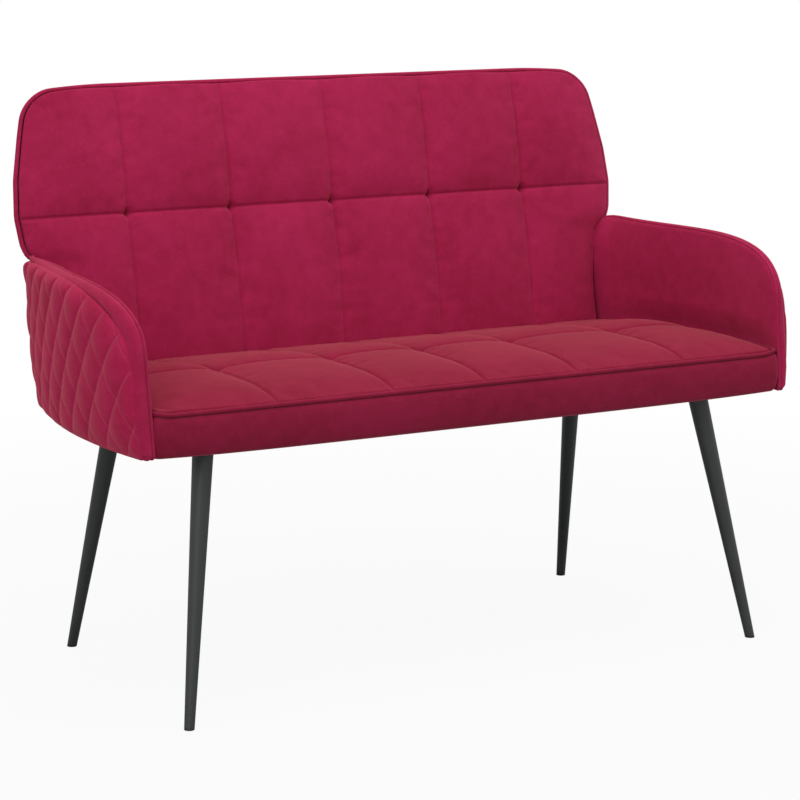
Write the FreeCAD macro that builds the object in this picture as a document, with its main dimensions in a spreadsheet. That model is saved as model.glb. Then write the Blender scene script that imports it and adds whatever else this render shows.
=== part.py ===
# A small two-seat upholstered bench: a sewn and tufted seat and back, two curved arms with diamond
# quilting outside, and four splayed tapered legs. Millimetres, +Z up, the front faces -Y, and the
# origin is on the floor under the middle of the bench.
import FreeCAD, Part
import Sketcher
import math
import os
import re
from FreeCAD import Placement, Rotation, Vector

doc = FreeCAD.newDocument("loveseat")
dims = doc.addObject("Spreadsheet::Sheet", "dims")

SIZES = {
    # Whole bench
    "overall_depth": "560",
    "seat_under": "380",
    "fit_gap": "0.3",
    "cut_past": "1",
    "least_round": "1",
    # Seat: layers from the underside up, and the band and piping round it
    "dust_cover": "1",
    "rail_height": "30",
    "rail_width": "24",
    "side_rail_least": "21.4",
    "centre_rail_width": "30",
    "seat_board": "9",
    "seat_foam": "18",
    "seat_set_back": "6",
    "seat_arm_gap": "2.5",
    "seat_corner": "16",
    "boxing": "2.5",
    "seat_piping": "6",
    "seat_back_gap": "8",
    # Tufted top of the seat: heights above the foam, and where the seams run
    "seat_edge_rise": "4",
    "seat_side_rise": "9",
    "seat_tuft_rise": "11",
    "seat_seam_rise": "19",
    "seat_seam_crown": "16",
    "seat_crown": "26",
    "seat_inner_seam_x": "165",
    "seat_outer_seam_x": "338",
    "seat_cross_seam_y": "-73",
    # Back, measured along its lean and square to it
    "back_lean": "11.3",
    "back_length": "472",
    "back_thickness": "64",
    "back_wide_step": "11",
    "back_wide_rise": "103.6",
    "back_top_step": "45",
    "back_hip_step": "14.5",
    "back_side_gap": "1.5",
    "back_top_round": "66",
    "back_side_round": "640",
    "back_hip_round": "13",
    "back_waist_round": "36",
    "back_piping": "8",
    "back_pad_base": "8",
    "back_foam": "18",
    "back_foam_margin": "26",
    "back_board": "12",
    "back_board_margin": "40",
    "back_shoulder_inset": "15",
    "back_rear_inset": "46",
    "back_core_gap": "3",
    "back_hip_drop": "3.7",
    # Tufted front of the back: how far each line stands forward of the piping plane
    "back_tuft_swell": "4",
    "back_seam_swell": "10",
    "back_seam_crown": "8",
    "back_crown": "16",
    "back_inner_seam_x": "175",
    "back_outer_seam_x": "347",
    "back_cross_seam_up": "280",
    # Arms: bent in plan about an upright axis, with a side outline
    "arm_apex_x": "531",
    "arm_apex_y": "-130.2",
    "arm_set_back": "4.8",
    "arm_inner_radius": "885",
    "arm_height": "605.5",
    "arm_front_lean": "6.5",
    "arm_top_fall": "0.7",
    "arm_front_round": "112",
    "arm_corner_round": "9",
    "arm_rear": "18",
    "arm_rear_round": "48",
    "arm_lining": "3",
    "arm_panel": "9",
    "arm_panel_round": "170",
    "arm_panel_clip": "70",
    "arm_panel_clip_run": "150",
    "arm_piping": "5",
    "arm_piping_depth": "6",
    "arm_band": "3",
    "arm_band_width": "20",
    "arm_pad_foot": "4",
    "arm_pad_swell": "22",
    "arm_pad_head": "14",
    "arm_pad_shoulder": "0.8",
    "quilt_width": "62",
    "quilt_height": "84",
    "quilt_rise": "27",
    "quilt_depth": "4",
    # Legs
    "leg_top_dia": "30",
    "leg_foot_dia": "14.5",
    "leg_wall": "1.5",
    "leg_spare": "12",
    "front_leg_inset": "38",
    "front_leg_spread": "60",
    "front_leg_splay": "68.4",
    "rear_leg_inset": "51",
    "rear_leg_set_in": "23.7",
    "rear_leg_spread": "39.5",
    "rear_leg_splay": "90",
    "front_plate_shift": "0",
    "rear_plate_shift": "10",
    "glide_height": "4",
    "glide_plug": "22",
    "plate_side": "66",
    "plate_thickness": "3",
    "plate_round": "8",
    "plate_bolt_span": "46",
    "leg_block_side": "84",
    # Fasteners
    "leg_bolt_dia": "6",
    "leg_bolt_head_dia": "11.4",
    "leg_bolt_head": "3.9",
    "leg_nut_barrel_dia": "8.4",
    "leg_nut_flange_dia": "15.6",
    "frame_bolt_dia": "8",
    "frame_bolt_head_dia": "15.2",
    "frame_bolt_head": "5.2",
    "frame_nut_barrel_dia": "11.2",
    "frame_nut_flange_dia": "20.8",
    "bolt_play": "0.3",
    "nut_flange": "1.5",
    "nut_barrel": "5",
    "arm_bolt_mid": "-75",
    "arm_bolt_pitch": "60",
    "arm_bolt_up": "15",
    "back_bolt_inner_x": "130",
    "back_bolt_outer_x": "340",
    "back_bolt_up": "16",
    "screw_dia": "5",
    "screw_seat": "18",
    "screw_bite": "40",
    "screw_head_dia": "9",
    "screw_head": "3",
    "screw_spread": "14",
    # Worked out from the sizes above: the seat
    "front_edge": "=-overall_depth / 2",
    "arm_front": "=front_edge + arm_set_back",
    "seat_front": "=arm_front + seat_set_back",
    "boxing_front": "=seat_front + boxing",
    "frame_front": "=boxing_front + fit_gap",
    "front_rail_rear": "=frame_front + rail_width",
    "piping_front": "=seat_front + seat_piping",
    "cushion_front": "=piping_front + fit_gap",
    "seat_radius": "=arm_inner_radius - seat_arm_gap",
    "boxing_radius": "=seat_radius - boxing",
    "frame_radius": "=boxing_radius - fit_gap",
    "piping_radius": "=seat_radius - seat_piping",
    "cushion_radius": "=piping_radius - fit_gap",
    "boxing_corner": "=seat_corner - boxing",
    "piping_corner": "=seat_corner - seat_piping",
    "rail_base": "=seat_under + dust_cover",
    "board_base": "=rail_base + rail_height",
    "foam_base": "=board_base + seat_board",
    "cushion_base": "=foam_base + seat_foam",
    "piping_base": "=cushion_base + seat_edge_rise - seat_piping",
    # Worked out: the back and the frame behind the seat
    "back_foot": "=overall_depth / 2 - (back_length - back_rear_inset) * sin(back_lean)"
                 " - back_thickness * cos(back_lean)",
    "board_front": "=back_pad_base + back_foam",
    "board_rear": "=board_front + back_board",
    "rail_rear_low": "=back_foot + board_front / cos(back_lean) + dust_cover * tan(back_lean)",
    "rail_rear_high": "=rail_rear_low + rail_height * tan(back_lean)",
    "rear_rail_front": "=rail_rear_low - rail_width",
    "side_rail_rear": "=rail_rear_low - fit_gap",
    "seat_rear": "=back_foot + (foam_base - seat_under) * tan(back_lean) - seat_back_gap",
    "back_base_up": "=(foam_base + fit_gap - seat_under + board_front * sin(back_lean)) / cos(back_lean)",
    "back_board_top": "=back_length - back_board_margin",
    "back_board_foot": "=(dust_cover + board_rear * sin(back_lean)) / cos(back_lean)",
    "arm_top_up": "=(arm_height - seat_under) / cos(back_lean)",
    "back_hip_up": "=arm_top_up - back_hip_drop",
    "back_wide_up": "=back_hip_up + back_wide_rise",
    "back_board_hip_up": "=back_hip_up + back_board_margin",
    # Worked out: the arms, and how wide the back may be between them
    "arm_axis_x": "=arm_apex_x - arm_inner_radius",
    "rail_inner_x": "=arm_axis_x + sqrt(frame_radius^2 - (side_rail_rear - arm_apex_y)^2) - side_rail_least",
    "arm_face_radius": "=arm_inner_radius + arm_lining - arm_piping",
    "arm_top_back_y": "=back_foot + (arm_height - seat_under) * tan(back_lean)",
    "back_low_y": "=arm_top_back_y + back_piping",
    "back_low_x": "=arm_axis_x + sqrt(arm_face_radius^2 - (back_low_y - arm_apex_y)^2) - back_side_gap",
    "back_core_x": "=back_low_x - back_core_gap",
    "back_wide_x": "=arm_apex_x - back_wide_step",
    "back_top_x": "=arm_apex_x - back_top_step",
    "back_hip_x": "=arm_apex_x - back_hip_step",
    "back_board_top_x": "=back_top_x - back_board_margin",
    "back_board_wide_x": "=back_wide_x - back_board_margin",
    "back_board_low_x": "=back_core_x - back_board_margin",
    "panel_radius": "=arm_inner_radius + arm_lining + fit_gap",
    "panel_outer": "=panel_radius + arm_panel",
    "pad_radius": "=panel_outer + fit_gap",
    # Worked out: the legs and bolts
    "block_inner_x": "=rail_inner_x - leg_block_side",
    "rear_block_front": "=rear_rail_front - leg_block_side",
    "leg_drop": "=seat_under - plate_thickness",
    "foot_reach": "=leg_foot_dia / 2 * sqrt(1 + (front_leg_splay / leg_drop)^2)",
    "front_leg_x": "=rail_inner_x - front_leg_inset",
    "front_foot_x": "=front_leg_x + front_leg_spread",
    "front_foot_y": "=front_edge + foot_reach",
    "front_leg_y": "=front_foot_y + front_leg_splay",
    "rear_leg_x": "=rail_inner_x - rear_leg_inset",
    "rear_foot_x": "=rear_leg_x + rear_leg_spread",
    "rear_leg_y": "=rear_rail_front - rear_leg_set_in",
    "rear_foot_y": "=rear_leg_y + rear_leg_splay",
    "plate_half": "=plate_side / 2",
    "arm_bolt_length": "=arm_axis_x - rail_inner_x - nut_flange"
                       " + sqrt(panel_outer^2 - (arm_bolt_mid + arm_bolt_pitch - arm_apex_y)^2)",
    "front_leg_run": "=sqrt((front_foot_x - front_leg_x)^2 + (front_foot_y - front_leg_y)^2 + leg_drop^2)",
    "rear_leg_run": "=sqrt((rear_foot_x - rear_leg_x)^2 + (rear_foot_y - rear_leg_y)^2 + leg_drop^2)",
}
for row, (alias, text) in enumerate(SIZES.items(), 1):
    dims.set(f"A{row}", alias)
    dims.set(f"B{row}", text)
    dims.setAlias(f"B{row}", alias)
doc.recompute()

nodes = []
SIDES = {"left": -1, "right": 1}


def mm(text):
    """Reads one size from the sheet, or its negative."""
    if text.startswith("-"):
        return -float(dims.get(text[1:]))
    return float(dims.get(text))


def bound(text):
    """Writes the sheet's name before each alias in an expression."""
    return re.sub(r"[a-z_]+", lambda word: f"dims.{word[0]}" if word[0] in SIZES else word[0], text)


def keep(piece, node):
    """Names a finished piece, so that it is written out under that name."""
    piece.Label = node
    nodes.append(piece)
    return piece


def feature(name, shape, placement=None):
    """Puts a shape that was built in code into the document."""
    piece = doc.addObject("Part::Feature", name)
    piece.Shape = shape
    if placement:
        piece.Placement = placement
    return piece


def box(name, low, extent):
    """A box with its low corner and its three extents bound to the sheet."""
    piece = doc.addObject("Part::Box", name)
    for side, text in zip(("Length", "Width", "Height"), extent):
        piece.setExpression(side, bound(text))
    for axis, text in zip("xyz", low):
        piece.setExpression(f"Placement.Base.{axis}", bound(text))
    return piece


def rod(name, diameter, length, base, direction):
    """A round bar from a base point along a direction, its diameter and length bound to the sheet."""
    piece = doc.addObject("Part::Cylinder", name)
    piece.setExpression("Radius", bound(f"({diameter}) / 2"))
    piece.setExpression("Height", bound(length))
    piece.Placement = Placement(base, Rotation(Vector(0, 0, 1), direction))
    return piece


def hole(name, fastener, length, base, direction):
    """A round cutter that clears a fastener by the bolt play."""
    return rod(name, f"{fastener} + 2 * bolt_play", length, base, direction)


def cut(name, base, tools):
    """Cuts a list of tools out of a base."""
    tool = tools[0]
    if len(tools) > 1:
        tool = doc.addObject("Part::Compound", f"{name}_tools")
        tool.Links = tools
    piece = doc.addObject("Part::Cut", name)
    piece.Base = base
    piece.Tool = tool
    return piece


def mirrored(name, source):
    """The left-hand copy of a right-hand piece."""
    piece = doc.addObject("Part::Mirroring", name)
    piece.Source = source
    piece.Normal = Vector(1, 0, 0)
    return piece


def group(node, master, placements):
    """Copies of one fastener as separate solids of one node."""
    doc.recompute()
    copies = []
    for placement in placements:
        copy = master.Shape.copy()
        copy.Placement = placement
        copies.append(copy)
    return keep(feature(node, Part.makeCompound(copies)), node)


def sketched_body(name, role, start):
    """A body with an empty sketch on one of its own planes, moved off that plane by start."""
    body = doc.addObject("PartDesign::Body", name)
    plane = [item for item in body.Origin.OriginFeatures if item.Role == role][0]
    sketch = body.newObject("Sketcher::SketchObject", f"{name}_outline")
    sketch.AttachmentSupport = [(plane, "")]
    sketch.MapMode = "FlatFace"
    sketch.setExpression("AttachmentOffset.Base.z", bound(start))
    return body, sketch


def bind_size(sketch, kind, geometry, point, text):
    """Adds one dimension to a sketch, from its origin, and binds it to the sheet."""
    names = (-1, 1, geometry, point) if point else (geometry,)
    index = sketch.addConstraint(Sketcher.Constraint(kind, *names, mm(text)))
    sketch.renameConstraint(index, f"size_{index}")
    sketch.setExpression(f"Constraints.size_{index}", bound(text))


def close_outline(sketch):
    """Joins each line or arc of a sketch to the next one, and the last to the first."""
    count = sketch.GeometryCount
    for index in range(count):
        sketch.addConstraint(Sketcher.Constraint("Coincident", index, 2, (index + 1) % count, 1))


def pad_sketch(body, sketch, depth, backwards=False):
    """Pads a body's sketch to a bound depth."""
    pad = body.newObject("PartDesign::Pad", f"{body.Name}_pad")
    pad.Profile = sketch
    pad.setExpression("Length", bound(depth))
    pad.Reversed = backwards
    doc.recompute()
    return pad


def round_edges(body, pad, corners, radius):
    """Rounds the padded edges that stand on the given corners of the sketch."""
    sketch = pad.Profile[0]
    across = sketch.Placement.Rotation.multVec(Vector(0, 0, 1))
    feet = [sketch.Placement.multVec(Vector(*corner)) for corner in corners]
    names = []
    for number, edge in enumerate(pad.Shape.Edges, 1):
        ends = [vertex.Point for vertex in edge.Vertexes]
        if any(max((end - foot).cross(across).Length for end in ends) < 0.01 for foot in feet):
            names.append(f"Edge{number}")
    rounding = body.newObject("PartDesign::Fillet", f"{body.Name}_round")
    rounding.Base = (pad, names)
    rounding.setExpression("Radius", bound(radius))


def polygon_body(name, role, corners, start, depth, backwards=False):
    """A padded polygon whose corners are pairs of aliases in the sketch plane."""
    body, sketch = sketched_body(name, role, start)
    points = [Vector(mm(across), mm(up)) for across, up in corners]
    for first, second in zip(points, points[1:] + points[:1]):
        sketch.addGeometry(Part.LineSegment(first, second), False)
    close_outline(sketch)
    for index, (across, up) in enumerate(corners):
        bind_size(sketch, "DistanceX", index, 1, across)
        bind_size(sketch, "DistanceY", index, 1, up)
    pad_sketch(body, sketch, depth, backwards)
    return body


def side_arc(radius, front, rear, side):
    """The arc that a layer of the seat follows beside an arm, from front to rear on the right."""
    axis = Vector(side * mm("arm_axis_x"), mm("arm_apex_y"))
    low = math.asin((mm(front) - axis.y) / mm(radius))
    high = math.asin((mm(rear) - axis.y) / mm(radius))
    circle = Part.Circle(axis, Vector(0, 0, 1), mm(radius))
    if side > 0:
        return Part.ArcOfCircle(circle, low, high)
    return Part.ArcOfCircle(circle, math.pi - high, math.pi - low)


def bind_arc(sketch, index, radius, axis_x):
    """Ties an arc of a sketch to the arms' plan curve."""
    bind_size(sketch, "DistanceX", index, 3, axis_x)
    bind_size(sketch, "DistanceY", index, 3, "arm_apex_y")
    bind_size(sketch, "Radius", index, None, radius)


def plan_body(name, front, radius, rear, base, depth, corner):
    """A layer of the seat: straight front and rear, and sides that follow the arms' plan curve."""
    body, sketch = sketched_body(name, "XY_Plane", base)
    right = side_arc(radius, front, rear, 1)
    left = side_arc(radius, front, rear, -1)
    sketch.addGeometry(Part.LineSegment(left.EndPoint, right.StartPoint), False)
    sketch.addGeometry(right, False)
    sketch.addGeometry(Part.LineSegment(right.EndPoint, left.StartPoint), False)
    sketch.addGeometry(left, False)
    close_outline(sketch)
    for line, text in ((0, front), (2, rear)):
        sketch.addConstraint(Sketcher.Constraint("Horizontal", line))
        bind_size(sketch, "DistanceY", line, 1, text)
    bind_arc(sketch, 1, radius, "arm_axis_x")
    bind_arc(sketch, 3, radius, "-arm_axis_x")
    pad = pad_sketch(body, sketch, depth)
    round_edges(body, pad, [right.StartPoint, left.EndPoint], corner)
    return body


def rounded_wire(corners, radii, lift):
    """A closed wire through corners in a plane, each rounded by its radius; lift places a point in space."""
    count = len(corners)
    halves, reaches = [], []
    for index, corner in enumerate(corners):
        half = (corners[index - 1] - corner).getAngle(corners[(index + 1) % count] - corner) / 2
        halves.append(half)
        reaches.append(radii[index] / math.tan(half))
    for index in range(count):
        following = (index + 1) % count
        spare = (corners[following] - corners[index]).Length - reaches[index] - reaches[following]
        if spare < 0:
            larger = index if reaches[index] > reaches[following] else following
            reaches[larger] += spare - mm("cut_past")
    edges, ends = [], []
    for index, corner in enumerate(corners):
        back = (corners[index - 1] - corner).normalize()
        ahead = (corners[(index + 1) % count] - corner).normalize()
        radius = reaches[index] * math.tan(halves[index])
        start, end = corner + back * reaches[index], corner + ahead * reaches[index]
        middle = corner + (back + ahead).normalize() * (radius / math.sin(halves[index]) - radius)
        ends.append((start, end))
        if radius:
            edges.append(Part.Arc(lift(start), lift(middle), lift(end)).toShape())
    for index in range(count):
        edges.append(Part.makeLine(lift(ends[index - 1][1]), lift(ends[index][0])))
    return Part.Wire(Part.__sortEdges__(edges))


def inset(corners, radii, distance):
    """Moves every side of an anticlockwise outline inwards, and its rounding with it."""
    count = len(corners)
    moved, rounded = [], []
    for index, corner in enumerate(corners):
        along = (corner - corners[index - 1]).normalize()
        ahead = (corners[(index + 1) % count] - corner).normalize()
        turn = along.x * ahead.y - along.y * ahead.x
        normal = Vector(-along.y, along.x) + Vector(-ahead.y, ahead.x)
        moved.append(corner + normal * (distance / (1 + along.dot(ahead))))
        change = -distance if turn > 0 else distance
        rounded.append(max(radii[index] + change, mm("least_round")) if radii[index] else 0)
    return moved, rounded


def quilted_solid(lines, section):
    """Fuses one smooth loft for each sewn column; section gives the outline on a line, seam or crown."""
    columns = []
    for low, high in zip(lines, lines[1:]):
        stations = [(low, False), ((low + high) / 2, True), (high, False)]
        columns.append(Part.makeLoft([section(*station) for station in stations], True, False))
    return columns[0].fuse(columns[1:])


# Seat frame: straight rails between two curved side rails, a centre rail and four leg blocks

arm_bolt_ys = [mm("arm_bolt_mid") + step * mm("arm_bolt_pitch") for step in (-1, 0, 1)]
arm_bolt_z = mm("rail_base") + mm("arm_bolt_up")
screw_zs = [mm("rail_base") + mm("rail_height") / 2 + side * mm("screw_spread") / 2 for side in (-1, 1)]
front_screw_y = mm("frame_front") + mm("rail_width") / 2
rear_screw_y = mm("rear_rail_front") + mm("rail_width") / 2
screw_points = [(y, z) for y in (front_screw_y, rear_screw_y) for z in screw_zs]
to_right = Vector(1, 0, 0)


def side_x(radius, y):
    """How far out an arc about the right arm's axis is at a depth."""
    return mm("arm_axis_x") + math.sqrt(mm(radius) ** 2 - (y - mm("arm_apex_y")) ** 2)


def side_rail(name):
    """The right side rail: straight inside, curved outside to follow the arm."""
    body, sketch = sketched_body(name, "XY_Plane", "rail_base")
    arc = side_arc("frame_radius", "frame_front", "side_rail_rear", 1)
    inner_front = Vector(mm("rail_inner_x"), mm("frame_front"))
    inner_rear = Vector(mm("rail_inner_x"), mm("side_rail_rear"))
    sketch.addGeometry(Part.LineSegment(inner_front, arc.StartPoint), False)
    sketch.addGeometry(arc, False)
    sketch.addGeometry(Part.LineSegment(arc.EndPoint, inner_rear), False)
    sketch.addGeometry(Part.LineSegment(inner_rear, inner_front), False)
    close_outline(sketch)
    for line, text in ((0, "frame_front"), (2, "side_rail_rear")):
        sketch.addConstraint(Sketcher.Constraint("Horizontal", line))
        bind_size(sketch, "DistanceY", line, 1, text)
    sketch.addConstraint(Sketcher.Constraint("Vertical", 3))
    bind_size(sketch, "DistanceX", 0, 1, "rail_inner_x")
    bind_arc(sketch, 1, "frame_radius", "arm_axis_x")
    pad = pad_sketch(body, sketch, "rail_height")
    round_edges(body, pad, [arc.StartPoint], "boxing_corner")
    tools = []
    inside = mm("rail_inner_x")
    for y in arm_bolt_ys:
        base = Vector(inside - mm("cut_past"), y, arm_bolt_z)
        tools.append(hole(f"{name}_bolt_hole", "frame_bolt_dia", "overall_depth", base, to_right))
    for y, z in screw_points:
        base = Vector(inside - mm("cut_past"), y, z)
        tools.append(hole(f"{name}_screw_hole", "screw_dia", "screw_seat + 2 * cut_past", base, to_right))
        base = Vector(inside + mm("screw_seat"), y, z)
        tools.append(hole(f"{name}_screw_well", "screw_head_dia", "overall_depth", base, to_right))
    fused = doc.addObject("Part::MultiFuse", f"{name}_holes")
    fused.Shapes = tools
    return cut(name, body, [fused])


right_rail = keep(side_rail("right_rail"), "right_seat_rail")
keep(mirrored("left_rail", right_rail), "left_seat_rail")


def screw_pilots(name, points):
    """Holes in both ends of a cross rail for the screws that come through the side rails."""
    tools = []
    for sign in SIDES.values():
        for y, z in points:
            base = Vector(sign * (mm("rail_inner_x") + mm("cut_past")), y, z)
            length = "screw_bite + 2 * cut_past"
            tools.append(hole(f"{name}_pilot", "screw_dia", length, base, to_right * -sign))
    return tools


front_rail = box("front_rail_blank", ("-rail_inner_x", "frame_front", "rail_base"),
                 ("2 * rail_inner_x", "rail_width", "rail_height"))
keep(cut("front_rail", front_rail, screw_pilots("front_rail", screw_points[:2])), "seat_front_rail")

back_frame = Placement(Vector(0, mm("back_foot"), mm("seat_under")),
                       Rotation(Vector(1, 0, 0), -mm("back_lean")))
rearwards = back_frame.Rotation.multVec(Vector(0, 1, 0))
back_bolt_xs = [sign * mm(alias) for alias in ("back_bolt_inner_x", "back_bolt_outer_x") for sign in (-1, 1)]


def back_bolt_base(x, depth):
    """A point on the axis of a back bolt, at a depth behind the piping plane."""
    up = mm("back_bolt_up") + mm("board_front") * math.tan(math.radians(mm("back_lean")))
    return back_frame.multVec(Vector(x, depth, up))


rear_rail_corners = [("rear_rail_front", "rail_base"), ("rail_rear_low", "rail_base"),
                     ("rail_rear_high", "board_base"), ("rear_rail_front", "board_base")]
rear_rail = polygon_body("rear_rail_blank", "YZ_Plane", rear_rail_corners, "-rail_inner_x",
                         "2 * rail_inner_x")
rear_holes = screw_pilots("rear_rail", screw_points[2:])
back_bolt_depth = mm("board_rear") - mm("nut_flange") - mm("rail_width") - mm("back_board")
for x in back_bolt_xs:
    start = back_bolt_base(x, back_bolt_depth - mm("rail_width"))
    rear_holes.append(hole("rear_rail_hole", "frame_bolt_dia", "3 * rail_width", start, rearwards))
    rear_holes.append(hole("rear_rail_spot", "frame_bolt_head_dia", "rail_width", start, rearwards))
rear_tools = doc.addObject("Part::MultiFuse", "rear_rail_holes")
rear_tools.Shapes = rear_holes
keep(cut("rear_rail", rear_rail, [rear_tools]), "seat_rear_rail")

keep(box("centre_rail", ("-centre_rail_width / 2", "front_rail_rear", "rail_base"),
         ("centre_rail_width", "rear_rail_front - front_rail_rear", "rail_height")), "seat_centre_rail")

LEGS = [(f"{end}_{hand}", end, sign) for end in ("front", "rear") for hand, sign in SIDES.items()]
up_axis = Vector(0, 0, 1)


def leg_bolt_points(end, sign, z):
    """The four bolt places round one leg's top."""
    x, y = sign * mm(f"{end}_leg_x"), mm(f"{end}_leg_y") - mm(f"{end}_plate_shift")
    reach = mm("plate_bolt_span") / 2
    return [Vector(x + a * reach, y + b * reach, z) for a in (-1, 1) for b in (-1, 1)]


for leg, end, sign in LEGS:
    low_x = "block_inner_x" if sign > 0 else "-rail_inner_x"
    low_y = "front_rail_rear" if end == "front" else "rear_block_front"
    blank = box(f"{leg}_block_blank", (low_x, low_y, "rail_base"),
                ("leg_block_side", "leg_block_side", "rail_height"))
    holes = []
    for point in leg_bolt_points(end, sign, mm("rail_base") - mm("cut_past")):
        holes.append(hole(f"{leg}_block_hole", "leg_nut_barrel_dia", "rail_height + 2 * cut_past",
                         point, up_axis))
    for point in leg_bolt_points(end, sign, mm("board_base") - mm("nut_flange") - mm("bolt_play")):
        holes.append(hole(f"{leg}_block_seat", "leg_nut_flange_dia", "2 * nut_flange", point, up_axis))
    fused = doc.addObject("Part::MultiFuse", f"{leg}_block_holes")
    fused.Shapes = holes
    keep(cut(f"{leg}_block", blank, [fused]), f"{leg}_leg_block")

# Seat layers above and below the frame

dust_blank = plan_body("dust_cover_blank", "frame_front", "frame_radius", "side_rail_rear", "seat_under",
                       "dust_cover", "boxing_corner")
dust_holes = []
for leg, end, sign in LEGS:
    for point in leg_bolt_points(end, sign, mm("seat_under") - mm("cut_past")):
        dust_holes.append(hole("dust_hole", "leg_bolt_dia", "dust_cover + 2 * cut_past", point, up_axis))
keep(cut("dust_cover_cloth", dust_blank, dust_holes), "seat_dust_cover")

keep(plan_body("seat_deck", "frame_front", "frame_radius", "side_rail_rear", "board_base", "seat_board",
               "boxing_corner"), "seat_board")
keep(plan_body("seat_slab", "cushion_front", "cushion_radius", "seat_rear", "foam_base", "seat_foam",
               "piping_corner"), "seat_foam")

boxing_outer = plan_body("boxing_outer", "seat_front", "seat_radius", "side_rail_rear", "seat_under",
                         "piping_base - seat_under - fit_gap", "seat_corner")
boxing_inner = plan_body("boxing_inner", "boxing_front", "boxing_radius", "rail_rear_high",
                         "seat_under - cut_past", "seat_crown + cushion_base", "boxing_corner")
boxing_holes = []
for y in arm_bolt_ys:
    for sign in SIDES.values():
        base = Vector(sign * mm("rail_inner_x"), y, arm_bolt_z)
        boxing_holes.append(hole("boxing_hole", "frame_bolt_dia", "overall_depth", base,
                                to_right * sign))
keep(cut("boxing_band", cut("boxing_ring", boxing_outer, [boxing_inner]), boxing_holes), "seat_boxing")

piping_outer = plan_body("piping_outer", "seat_front", "seat_radius", "seat_rear", "piping_base",
                         "seat_piping", "seat_corner")
piping_inner = plan_body("piping_inner", "piping_front", "piping_radius", "rail_rear_high", "seat_under",
                         "seat_crown + cushion_base", "piping_corner")
keep(cut("seat_welt", piping_outer, [piping_inner]), "seat_piping")

# Tufted top of the seat: six sewn columns in two rows, trimmed to lie inside the piping

seat_edge_x = side_x("seat_radius", mm("arm_apex_y"))
seat_lines = [-seat_edge_x, -mm("seat_outer_seam_x"), -mm("seat_inner_seam_x"), 0,
              mm("seat_inner_seam_x"), mm("seat_outer_seam_x"), seat_edge_x]


def seat_section(x, crowned):
    """The seat top on one line from front to rear: two arcs that meet at the cross seam."""
    base = mm("cushion_base")
    front, seam, rear = mm("cushion_front"), mm("seat_cross_seam_y"), mm("seat_rear")
    edge = base + mm("seat_edge_rise")
    seam_z = base + mm("seat_seam_rise" if crowned else "seat_tuft_rise")
    crown_z = base + mm("seat_crown" if crowned else "seat_seam_crown")
    if abs(x) == seat_edge_x:
        seam_z = crown_z = base + mm("seat_side_rise")
    at = [Vector(x, front, base), Vector(x, rear, base), Vector(x, rear, edge), Vector(x, seam, seam_z),
          Vector(x, front, edge)]
    rear_crown = Vector(x, (rear + seam) / 2, crown_z)
    front_crown = Vector(x, (front + seam) / 2, crown_z)
    return Part.Wire([Part.makeLine(at[0], at[1]), Part.makeLine(at[1], at[2]),
                      Part.Arc(at[2], rear_crown, at[3]).toShape(),
                      Part.Arc(at[3], front_crown, at[4]).toShape(), Part.makeLine(at[4], at[0])])


cushion_trim = plan_body("cushion_trim", "cushion_front", "cushion_radius", "seat_rear", "seat_under",
                         "seat_crown + cushion_base", "piping_corner")
doc.recompute()
seat_top = quilted_solid(seat_lines, seat_section).common(cushion_trim.Shape)
keep(feature("seat_top", seat_top.removeSplitter()), "seat_cushion")

# Back: board, foam, tufted front, piping and padded rear cover, all built upright and then leaned


def back_outline(low_x, foot):
    """The back's outline seen from the front: rounded shoulders, and a waist that passes between the arms."""
    top, hip = mm("back_length"), mm("back_hip_up")
    right = [(low_x, foot, 0), (low_x, hip, mm("back_waist_round")),
             (mm("back_hip_x"), hip, mm("back_hip_round")),
             (mm("back_wide_x"), mm("back_wide_up"), mm("back_side_round")),
             (mm("back_top_x"), top, mm("back_top_round"))]
    left = [(-x, up, radius) for x, up, radius in reversed(right)]
    corners = [Vector(x, up) for x, up, radius in right + left]
    return corners, [radius for x, up, radius in right + left]


def back_face(corners, radii, depth):
    """An outline of the back as a flat face at a depth behind the piping plane."""
    return Part.Face(rounded_wire(corners, radii, lambda point: Vector(point.x, depth, point.y)))


front_outline = back_outline(mm("back_low_x"), mm("back_base_up"))
pad_outline = inset(*front_outline, mm("back_piping") + mm("fit_gap"))
piping_ring = back_face(*front_outline, 0).extrude(Vector(0, mm("back_piping"), 0))
piping_hole = back_face(*inset(*front_outline, mm("back_piping")), -mm("cut_past"))
piping_ring = piping_ring.cut(piping_hole.extrude(Vector(0, mm("back_piping") + 2 * mm("cut_past"), 0)))
keep(feature("back_welt", piping_ring, back_frame), "back_piping")

back_edge_x = mm("back_wide_x")
back_lines = [-back_edge_x, -mm("back_outer_seam_x"), -mm("back_inner_seam_x"), 0,
              mm("back_inner_seam_x"), mm("back_outer_seam_x"), back_edge_x]


def back_section(x, crowned):
    """The back's front on one upright line: two arcs that meet at the cross seam."""
    base = mm("back_pad_base")
    foot, seam, top = pad_outline[0][0].y, mm("back_cross_seam_up"), mm("back_length")
    seam_y = -mm("back_seam_swell" if crowned else "back_tuft_swell")
    crown_y = -mm("back_crown" if crowned else "back_seam_crown")
    if abs(x) == back_edge_x:
        seam_y = crown_y = -mm("fit_gap")
    at = [Vector(x, base, foot), Vector(x, base, top), Vector(x, 0, top), Vector(x, seam_y, seam),
          Vector(x, 0, foot)]
    upper = Vector(x, crown_y, (top + seam) / 2)
    lower = Vector(x, crown_y, (foot + seam) / 2)
    return Part.Wire([Part.makeLine(at[0], at[1]), Part.makeLine(at[1], at[2]),
                      Part.Arc(at[2], upper, at[3]).toShape(), Part.Arc(at[3], lower, at[4]).toShape(),
                      Part.makeLine(at[4], at[0])])


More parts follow.
